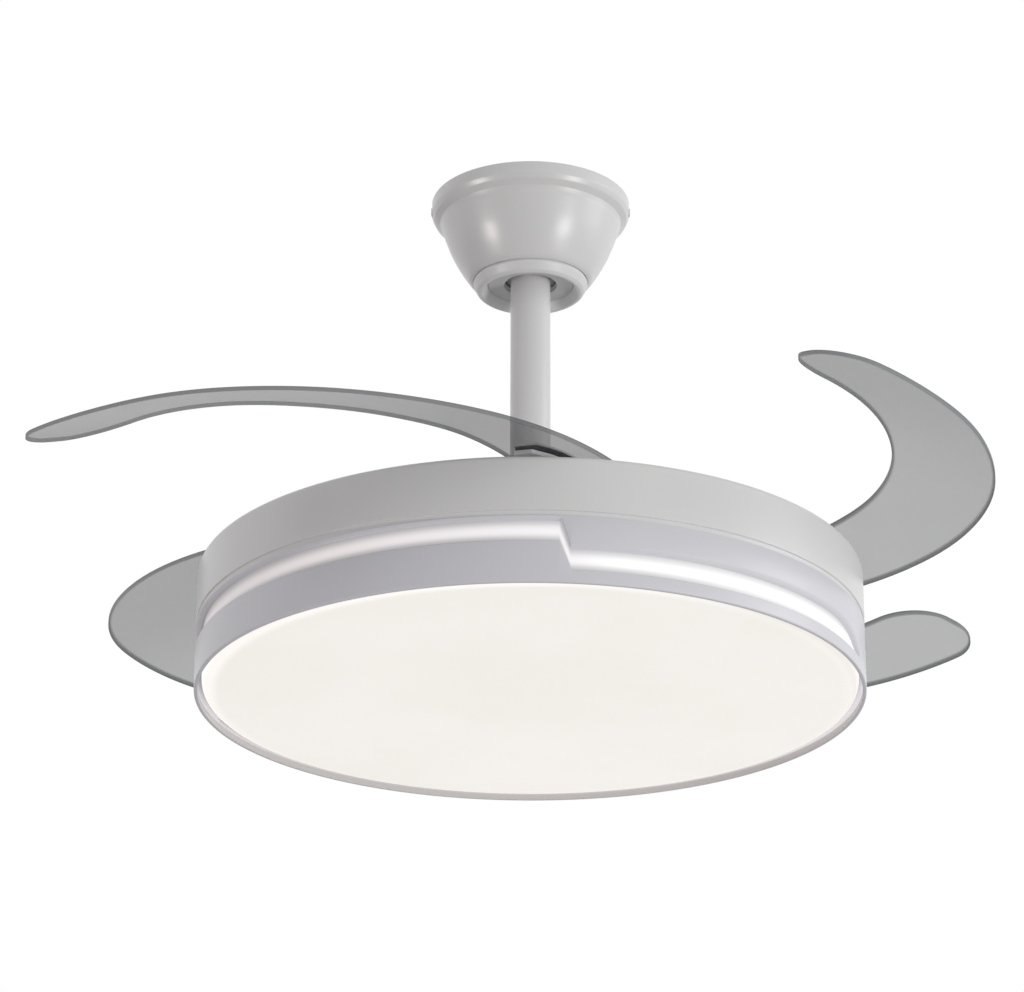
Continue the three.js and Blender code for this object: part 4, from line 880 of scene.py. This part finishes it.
for number, at in enumerate(pivots, 1):
    spring = grown(spring_tree, spring_steel, {"Pivot direction": at})
    piece(f"coiled_spring_{number}", spring, spring_steel, "rotor", [f"return_spring_{number}"], 60)

# ---- Lamp housing ----
# Shallow drum pressed from steel sheet, its top edge rolled over, painted white. A narrow set-back at its
# foot leaves a shadow seam above the side ring.
lamp_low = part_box("side_ring")[0].z / MM


def from_lamp(points):
    """Outline points with their heights taken from the lower edge of the lamp."""
    return [(radius, height + lamp_low, corner) for radius, height, corner in points]


lamp_radius, flange_radius, drum_top, drum_sheet = 250, 226.5, 94, 1.7
housing_points = [
    (flange_radius, 50, 0.2),
    (248.7, 50, 0.2),
    (248.7, 53, 0.2),
    (lamp_radius, 53.4, 0.5),
    (lamp_radius, drum_top, 4.2),
    (30, drum_top, 0),
    (shaft_radius, drum_top, 0.2),
    (shaft_radius, drum_top - drum_sheet, 0.2),
    (248.1, drum_top - drum_sheet, 2.5),
    (248.1, 54, 0.2),
    (247, 53, 0.2),
    (247, 51.6, 0.4),
    (flange_radius, 51.6, 0.2),
]
housing_outline = rounded(from_lamp(housing_points), 6)
piece("housing_pan", spun(housing_outline, 320), white_paint, "pendant", ["drum_housing"])

# ---- Side ring ----
# Rolled steel band with two stepped slots, half a turn apart, that let the light out sideways. The edges of
# the slots are turned inward. Its paint is slightly cooler than the housing's.
ring_paint = paint("ring_paint", colour(221, 220, 226), 0.32)
ring_shader = next(n for n in ring_paint.node_tree.nodes if n.type == "BSDF_PRINCIPLED").inputs
ring_graph = Graph(ring_paint.node_tree)
across, ahead, height = ring_graph.parts(ring_graph.own_place())
from_axis = (across * across + ahead * ahead).math("SQRT")


def between(height, low, high):
    """From 0 at one height in millimetres over the lamp's lower edge to 1 at another."""
    return height.graph.spread(height, (lamp_low + low) * MM, (lamp_low + high) * MM)


# Painted light: the ring's paint glows where light from the diffuser would fall on it. This covers the
# turned-in lips of the slots, more on faces turned up and toward +X, and the inward-facing walls above the
# foot.
facing = ring_graph.parts(ring_graph.node("ShaderNodeNewGeometry", None, None, "Normal"))
inward = ring_graph.spread((across * facing[0] + ahead * facing[1]) / from_axis * -1.0, 0.5, 0.9)
painted_lip_light_share = ring_graph.spread(facing[2], 0.3, 0.8, 0.03, 0.3) * ring_graph.spread(across, -0.2, 0.2, 0.4, 1.0)
painted_lip_light = ring_graph.spread(from_axis, 0.2497, 0.2462) * between(height, 5, 6.5) * painted_lip_light_share
painted_gap_light_band = between(height, 4, 6) * between(height, 24, 12)
painted_spill_light = (painted_lip_light + inward * painted_gap_light_band * 0.22).least(1.0)
ring_graph.put(ring_shader["Emission Color"], ring_graph.mix(painted_spill_light, no_light, colour(236, 229, 228)))
ring_shader["Emission Strength"].default_value = 1.0
painted = Value(ring_graph, ring_shader["Base Color"].links[0].from_socket)
# Painted shade: the inward-facing wall of the foot is painted darker toward its lower edge.
painted_rim_shade = inward * between(height, 6, 4.5)
ring_graph.put(ring_shader["Base Color"], ring_graph.mix(painted_rim_shade, painted, colour(196, 193, 193)))
turned_under = ring_graph.spread(facing[2], -0.05, -0.5)
smooth = Value(ring_graph, ring_shader["Roughness"].links[0].from_socket)
ring_graph.put(ring_shader["Roughness"], smooth + turned_under * 0.4)

ring_wall, ring_foot, lip_inner, lip_sheet = 247.8, 247.2, 246, 1.6
high_run, low_run = (30.9, 46.7), (9.9, 26.1)  # bottom and top of the slot above the lamp's lower edge
slot_start, slot_end, blunt, taper = -98.0, 73.5, 3.0, 13.0  # ends and their round-off, in degrees
bottom_step, top_step, glow_step = (4.4, 6.3), (4.6, 6.1), (4.4, 6.2)  # degrees where each steps down


def slot_edges(at):
    """Bottom and top of the slot at a direction from the front, the same past its ends."""

    def kept_in(share):
        return min(max(share, 0), 1)

    bottom, top = [
        high + (low - high) * kept_in((at - step[0]) / (step[1] - step[0]))
        for high, low, step in zip(high_run, low_run, (bottom_step, top_step))
    ]
    left, right = kept_in((at - slot_start) / blunt), kept_in((slot_end - at) / taper)
    open_share = math.sqrt(1 - (1 - left) ** 2) * math.sqrt(1 - (1 - right) ** 2)
    return bottom, bottom + (top - bottom) * open_share


def ring_section(at):
    """Outlines of the ring's section below and above its slot, and the first point of each one's lip."""
    bottom, top = slot_edges(at)
    opened = min((top - bottom) / 8, 1)
    lip = ring_wall - (ring_wall - lip_inner) * opened
    low_round, high_round = 0.9 * opened, min(3.6, 48.8 - top) * opened
    arc = [(1 - math.cos(math.radians(15 * n)), 1 - math.sin(math.radians(15 * n))) for n in range(7)]
    foot = [(ring_foot, 4.5, 0), (ring_foot, 0, 0.4), (lamp_radius, 0, 1.8), (lamp_radius, 4, 0)]
    lower = [(point.x, point.y) for point in rounded(foot, 5)[1:-1]]
    lower += [(lamp_radius - low_round * a, bottom - low_round * b) for a, b in arc]
    lower_lip = len(lower) - 1
    lower += [(lip, bottom), (lip, bottom - lip_sheet), (ring_wall, bottom - lip_sheet)]
    lower += [(ring_wall, 6), (ring_foot, 4.5)]
    upper = [(lamp_radius - high_round * b, top + high_round * a) for a, b in arc]
    lip_top = min(top + lip_sheet, 48.0)
    upper += [(lamp_radius, 49.1), (249.8, 49.5), (249.4, 49.7), (flange_radius, 49.7)]
    upper += [(flange_radius, 48.1), (ring_wall, 48.1), (ring_wall, lip_top), (lip, lip_top), (lip, top)]
    return (lower, lower_lip), (upper, len(upper) - 1), top - bottom < 1e-6


ring_body = bmesh.new()
half_turn, end_gap, step_gap = 168, 0.25, 0.15  # columns in half a turn, degrees between the closer ones
ring_stops = {slot_start, slot_end - 1e-9} | {slot_start + 180 * n / half_turn for n in range(half_turn)}
ring_stops |= {slot_start + end_gap * n for n in range(1, 12)}
ring_stops |= {slot_end - end_gap * n for n in range(1, 12)}
ring_stops |= {4.2 + step_gap * n for n in range(16)}
ring_stops = sorted({round(at, 6) for at in ring_stops})
ring_columns = []
for turn in (0, 180):
    for at in ring_stops:
        direction = math.radians(at - 90 + turn)
        spoke = Vector((math.cos(direction), math.sin(direction)))
        lower, upper, shut = ring_section(at)
        loops = []
        for outline, lip_at in (lower, upper):
            corners = [((spoke * r * MM).to_3d() + Vector((0, 0, (z + lamp_low) * MM))) for r, z in outline]
            loops.append(([ring_body.verts.new(corner) for corner in corners], lip_at))
        ring_columns.append((loops, shut))
for (loops, shut), (next_loops, next_shut) in zip(ring_columns, ring_columns[1:] + ring_columns[:1]):
    for (loop, lip_at), (next_loop, _) in zip(loops, next_loops):
        for n in range(len(loop)):
            if n == lip_at and shut and next_shut:
                continue
            m = (n + 1) % len(loop)
            ring_body.faces.new((loop[n], loop[m], next_loop[m], next_loop[n]))
bmesh.ops.remove_doubles(ring_body, verts=ring_body.verts, dist=weld)
bmesh.ops.dissolve_degenerate(ring_body, edges=ring_body.edges, dist=weld)
bmesh.ops.recalc_face_normals(ring_body, faces=ring_body.faces)
piece("slotted_ring", ring_body, ring_paint, "pendant", ["side_ring"])

# ---- Diffuser ----
# Pan of opal acrylic, lit from behind by the LED board. Its side shows through the slots of the ring.
opal, opal_graph, opal_shader = new_material("opal_acrylic")
across, ahead, height = opal_graph.parts(opal_graph.own_place())
turned = across.math("ARCTAN2", -ahead) * math.degrees(1)  # degrees from the front toward +X
along_slot = (turned - slot_start).math("FLOORED_MODULO", 180.0) + slot_start
high_middle, low_middle = [(lamp_low + sum(run) / 2) * MM for run in (high_run, low_run)]
off_slot = height - opal_graph.spread(along_slot, *glow_step, high_middle, low_middle)
# Painted shade: the glow fades toward the bottom and, more slowly, toward the top of each slot. This stands
# for the shade of the slot's lips.
slot_glow_with_lip_shade = [(0, 0), (0.12, 0.3), (0.26, 0.8), (0.36, 1), (0.5, 1), (0.63, 0.8), (0.8, 0.36), (1, 0)]
glow_foot, glow_head = -0.0062, 0.0096  # metres from the middle of the slot
slot_glow = opal_graph.spread(off_slot, glow_foot, glow_head)
slot_glow = opal_graph.ramp(slot_glow, [(at, (level, level, level)) for at, level in slot_glow_with_lip_shade])
# Painted light and shade: the slot glow and the dim tone round it are painted brighter toward +X and darker
# toward -X, following the lamps on the right.
painted_right_light_share = opal_graph.spread(across, -0.25, 0.25)
glow_tone = opal_graph.ramp(
    painted_right_light_share,
    [
        (0.02, colour(190, 184, 185)),
        (0.21, colour(218, 211, 212)),
        (0.41, colour(232, 228, 229)),
        (0.56, colour(240, 237, 239)),
        (0.62, colour(254, 253, 252)),
        (0.76, colour(255, 255, 254)),
    ],
)
slot_shade = opal_graph.ramp(
    painted_right_light_share,
    [(0.2, colour(150, 148, 148)), (0.41, colour(162, 160, 161)), (0.76, colour(206, 205, 207))],
)
side_glow = opal_graph.mix(slot_glow, slot_shade, glow_tone)
on_side = between(height, 9.5, 11.5)
cloud = opal_graph.spread(opal_graph.noise(6, 2), 0.35, 0.65)
face_glow = opal_graph.mix(cloud, colour(216, 213, 207), colour(219, 216, 211))
from_axis = (across * across + ahead * ahead).math("SQRT")
# Painted light: a brighter band of glow near the pan's edge, only on its front left side.
painted_edge_light = opal_graph.spread(from_axis, 0.232, 0.239)
front_left = across * -0.62 - ahead * 0.78
painted_edge_light = painted_edge_light * opal_graph.spread(front_left, 0.02, 0.2, 0.25, 1.0)
face_glow = opal_graph.mix(painted_edge_light, face_glow, colour(236, 231, 227))
opal_graph.put(opal_shader["Emission Color"], opal_graph.mix(on_side, face_glow, side_glow))
opal_shader["Emission Strength"].default_value = 1.0
face_base = opal_graph.mix(cloud, colour(150, 149, 147), colour(154, 153, 151))
opal_graph.put(opal_shader["Base Color"], opal_graph.mix(on_side, face_base, colour(70, 70, 70)))
opal_graph.put(opal_shader["Roughness"], opal_graph.spread(opal_graph.noise(70, 3), 0.3, 0.7, 0.4, 0.5))
pan_radius, pan_wall, pan_low, pan_high = 244.5, 2.5, 2.2, 47.8
pan_points = [
    (0, pan_low, 0),
    (pan_radius, pan_low, 9),
    (pan_radius, pan_high, 0.3),
    (228.5, pan_high, 0.3),
    (228.5, pan_high - 1.6, 0.3),
    (pan_radius - pan_wall, pan_high - 1.6, 1),
    (pan_radius - pan_wall, pan_low + pan_wall, 6.5),
    (0, pan_low + pan_wall, 0),
]
diffuser_outline = rounded(from_lamp(pan_points), 8)
piece("opal_pan", spun(diffuser_outline, 256), opal, "pendant", ["diffuser"])

# ---- LED board ----
# White board with rings of light-emitting chips on its underside, on nylon spacers under the housing, with
# its driver in a plastic case.
board_low, board_high = (corner.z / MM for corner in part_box("led_board"))
board_white = plastic("board_lacquer", colour(236, 236, 233), 0.38)
phosphor = plastic("chip_phosphor", colour(236, 206, 92), 0.4)
board_bore, board_radius = 30, 220
board_section = plain_section(board_bore, board_radius, board_low, board_high, 0.2)
turned_piece("chip_board", "led_board", board_section, board_white, 160)
chip_tree, chips, size = new_tree(
    "chip_rings",
    {
        "Inner ring": 0.060,
        "Outer ring": 0.205,
        "Chip width": 0.0036,
        "Chip height": 0.0009,
        "Board height": board_low * MM,
    },
)
lens_top, lens_foot = size["Chip width"] * 0.7, size["Chip width"] * 0.55
chip = {"Vertices": 4, "Radius Top": lens_top, "Radius Bottom": lens_foot, "Depth": size["Chip height"]}
chip = chips.node("GeometryNodeMeshCone", None, chip)
chip = moved(chips, chip, (0, 0, size["Board height"] - size["Chip height"] * 0.95), math.pi / 4)
rings = chips.node("GeometryNodeJoinGeometry")
chip_counts = (24, 42, 60, 78)
for number, count in enumerate(chip_counts):
    outward = number / (len(chip_counts) - 1)
    ring_place = size["Inner ring"] + (size["Outer ring"] - size["Inner ring"]) * outward
    ring = round_axis(chips, moved(chips, chip, (ring_place, 0, 0)), count)
    chips.put(rings.socket.node.inputs[0], ring)
close_tree(chips, rings, size["Finish"])
piece("led_chips", grown(chip_tree, phosphor), phosphor, "pendant", (), 20)
finished("led_driver", dark_plastic, 0.8)
for number in range(1, 5):
    finished(f"standoff_{number}", nylon, 0.2, 20)
driver_x, driver_y, driver_foot = 95, 62.4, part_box("led_driver")[0].z / MM + 16
driver_screws = screws_at(
    [((driver_x, y, driver_foot), (0, 0, -1)) for y in (-driver_y, driver_y)],
    zinc,
    head_radius=0.003,
    head_height=0.0016,
    shank_radius=0.0014,
    shank_length=0.005,
    recess_depth=0.0009,
)
piece("driver_screws", driver_screws, zinc, "pendant")

# ---- Blades ----
# Four curved blades cut from clear grey acrylic sheet and bent hot, so that the inner edge stands higher
# than the outer one and both climb toward the tip. They are modelled folded round the drum, then opened.
acrylic, acrylic_graph, acrylic_shader = new_material("blade_acrylic")
rim = acrylic_graph.node("ShaderNodeAttribute", {"attribute_name": "rim"}, None, "Fac")
near_rim = 1.0 - acrylic_graph.spread(rim, 0.0, 0.0026)
smear = acrylic_graph.spread(acrylic_graph.noise(30, 4, (1, 1, 0.3)), 0.35, 0.7)
clear_grey = acrylic_graph.mix(smear, colour(98, 100, 103), colour(106, 108, 111))
blade_tone = acrylic_graph.mix(near_rim, clear_grey, colour(112, 114, 118))
acrylic_graph.put(acrylic_shader["Base Color"], blade_tone)
edge_on = acrylic_graph.node("ShaderNodeLayerWeight", None, {"Blend": 0.5}, "Facing")
thin_tint, deep_tint, rim_tint = 0.345, 0.45, 0.78
tint = acrylic_graph.spread(edge_on, 0.45, 0.8, thin_tint, deep_tint)
acrylic_graph.put(acrylic_shader["Alpha"], tint + near_rim * (rim_tint - tint))
acrylic_shader["IOR"].default_value = 1.12
acrylic_graph.put(acrylic_shader["Roughness"], acrylic_graph.spread(smear, 0.0, 1.0, 0.29, 0.34))

fold_angle = 86.0
blade_root, blade_tip = -6.0, -133.9
blade_width, blade_outer = 74.0, 247.5
blade_base, blade_climb, blade_sheet = lamp_low + 102.6, 40.0, 3.0
# Degrees from the pivot, heights of the outer and inner edge as shares of the climb, and how far the outer
# edge draws in as a share of the width.
blade_form = [
    (blade_root, 0, 0.238, 0),
    (-34, 0.038, 0.459, 0),
    (-52, 0.06, 0.524, 0),
    (-72, 0.125, 0.613, 0.008),
    (-92, 0.213, 0.745, 0.052),
    (-112, 0.28, 0.87, 0.068),
    (blade_tip, 0.46, 1, 0.02),
]


def form_at(at, edge):
    """A column of the blade's form at a direction, on a smooth line through its rows."""
    row = 0
    while row < len(blade_form) - 2 and at < blade_form[row + 1][0]:
        row += 1
    start, end = blade_form[row], blade_form[row + 1]
    before, after = blade_form[max(row - 1, 0)], blade_form[min(row + 2, len(blade_form) - 1)]
    span = end[0] - start[0]
    t = (at - start[0]) / span
    slope_start = (end[edge] - before[edge]) / (end[0] - before[0]) * span
    slope_end = (after[edge] - start[edge]) / (after[0] - start[0]) * span
    return (
        (2 * t**3 - 3 * t**2 + 1) * start[edge]
        + (t**3 - 2 * t**2 + t) * slope_start
        + (3 * t**2 - 2 * t**3) * end[edge]
        + (t**3 - t**2) * slope_end
    )


blade_sizes = {
    "Outer radius": blade_outer * MM,
    "Width": blade_width * MM,
    "Root angle": math.radians(blade_root),
    "Tip angle": math.radians(blade_tip),
    "Root corner": 0.012,
    "Tip corner": 0.033,
    "Tip slope length": 0.053,
    "Tip slope width": 0.034,
    "Base height": blade_base * MM,
    "Climb": blade_climb * MM,
    "Sheet": blade_sheet * MM,
    "Pivot radius": pivot_place * MM,
    "Pivot direction": 0.0,
    "Open angle": math.radians(fold_angle),
}
blade_tree, blade_graph, size = new_tree("bent_blade", blade_sizes)
grid = {"Size X": 1.0, "Size Y": 1.0, "Vertices X": 151, "Vertices Y": 31}
grid = blade_graph.node("GeometryNodeMeshGrid", None, grid)
spot = blade_graph.parts(blade_graph.node("GeometryNodeInputPosition"))
# Rows and columns lie closer toward the blade's edges.
run_share, across_share = [(1.0 - ((part + 0.5) * math.pi).math("COSINE")) * 0.5 for part in spot[:2]]
middle_radius = size["Outer radius"] - size["Width"] * 0.5
length = (size["Root angle"] - size["Tip angle"]) * middle_radius
from_root = run_share * length
from_tip = length - from_root


def corner_cut(distance, reach, width):
    """How far a rounded corner stands in from the blade's edge at a distance from its end."""
    left = (1.0 - distance / reach).most(0.0)
    return width * (1.0 - (1.0 - left * left).most(0.0).math("SQRT"))


def form_curve(edge):
    """A column of the blade's form as a curve along the blade."""
    made = blade_graph.node("ShaderNodeFloatCurve", None, {"Value": run_share})
    curve = made.socket.node.mapping.curves[0]
    steps = 20
    curve.points[0].location = (0, form_at(blade_root, edge))
    curve.points[1].location = (1, form_at(blade_tip, edge))
    for step in range(1, steps):
        at = blade_root + (blade_tip - blade_root) * step / steps
        curve.points.new(step / steps, form_at(at, edge))
    made.socket.node.mapping.update()
    return made


root_cut = corner_cut(from_root, size["Root corner"], size["Root corner"])
outer_edge = size["Outer radius"] - root_cut - corner_cut(from_tip, size["Tip corner"], size["Tip corner"])
outer_edge = outer_edge - size["Width"] * form_curve(3)
inner_edge = size["Outer radius"] - size["Width"] + root_cut
inner_edge = inner_edge + corner_cut(from_tip, size["Tip slope length"], size["Tip slope width"])
radius = outer_edge + (inner_edge - outer_edge) * across_share
direction = size["Root angle"] - from_root / middle_radius
outer_rise, inner_rise = form_curve(1), form_curve(2)
inward = (size["Outer radius"] - radius) / size["Width"]
height = size["Base height"] + size["Climb"] * (outer_rise + (inner_rise - outer_rise) * inward)
to_edge = (outer_edge - radius).least(radius - inner_edge).least(from_root).least(from_tip)
marked = blade_graph.node(
    "GeometryNodeStoreNamedAttribute",
    {"data_type": "FLOAT", "domain": "POINT"},
    {"Geometry": grid, "Name": "rim", "Value": to_edge},
)
bent = blade_graph.vector(
    radius * direction.math("COSINE") - size["Pivot radius"],
    radius * direction.math("SINE"),
    height - size["Sheet"] * 0.5,
)
shaped = blade_graph.node("GeometryNodeSetPosition", None, {"Geometry": marked, "Position": bent})
upward = {"Offset": blade_graph.vector(z=1.0), "Offset Scale": size["Sheet"], "Individual": False}
raised = blade_graph.node("GeometryNodeExtrudeMesh", {"mode": "FACES"}, {"Mesh": shaped, **upward})
underside = blade_graph.node("GeometryNodeFlipFaces", None, {"Mesh": shaped})
both = blade_graph.node("GeometryNodeJoinGeometry")
for part in (raised, underside):
    blade_graph.put(both.socket.node.inputs[0], part)
closed = blade_graph.node("GeometryNodeMergeByDistance", None, {"Geometry": both, "Distance": weld})
opened = moved(blade_graph, closed, (size["Pivot radius"], 0, 0), size["Open angle"])
placed = moved(blade_graph, opened, (0, 0, 0), size["Pivot direction"])
close_tree(blade_graph, placed, size["Finish"])

for number, at in enumerate(pivots, 1):
    sheet = changed(grown(blade_tree, acrylic, {"Pivot direction": at}), edge_break(0.5, 50))
    rides, stands_for = f"folding_blade_{number}", [f"blade_{number}"]
    piece(f"bent_blade_{number}", sheet, acrylic, rides, stands_for, 40)

# ---- Arms and clamps ----
# Cast aluminium arm with its boss and gear sector in one piece. A steel strip with two pressed studs clamps
# the root of the blade on it.
for number in range(1, 5):
    finished(f"blade_arm_{number}", cast, 0.4)
    finished(f"blade_clamp_{number}", zinc, 0.25, 40, 3.5)

# ---- Hidden CAD nodes ----
# Every solid also keeps the finish of its own slot.
finishes = {
    "white_paint": white_paint,
    "ring_paint": ring_paint,
    "white_plastic": white_plastic,
    "steel": zinc,
    "cast_metal": cast,
    "nylon": nylon,
    "copper": copper,
    "dark_plastic": dark_plastic,
    "board": board_white,
    "opal_acrylic": opal,
    "blade_acrylic": acrylic,
}
for name, node in nodes.items():
    node.data.materials.clear()
    node.data.materials.append(finishes[slot_of[name]])
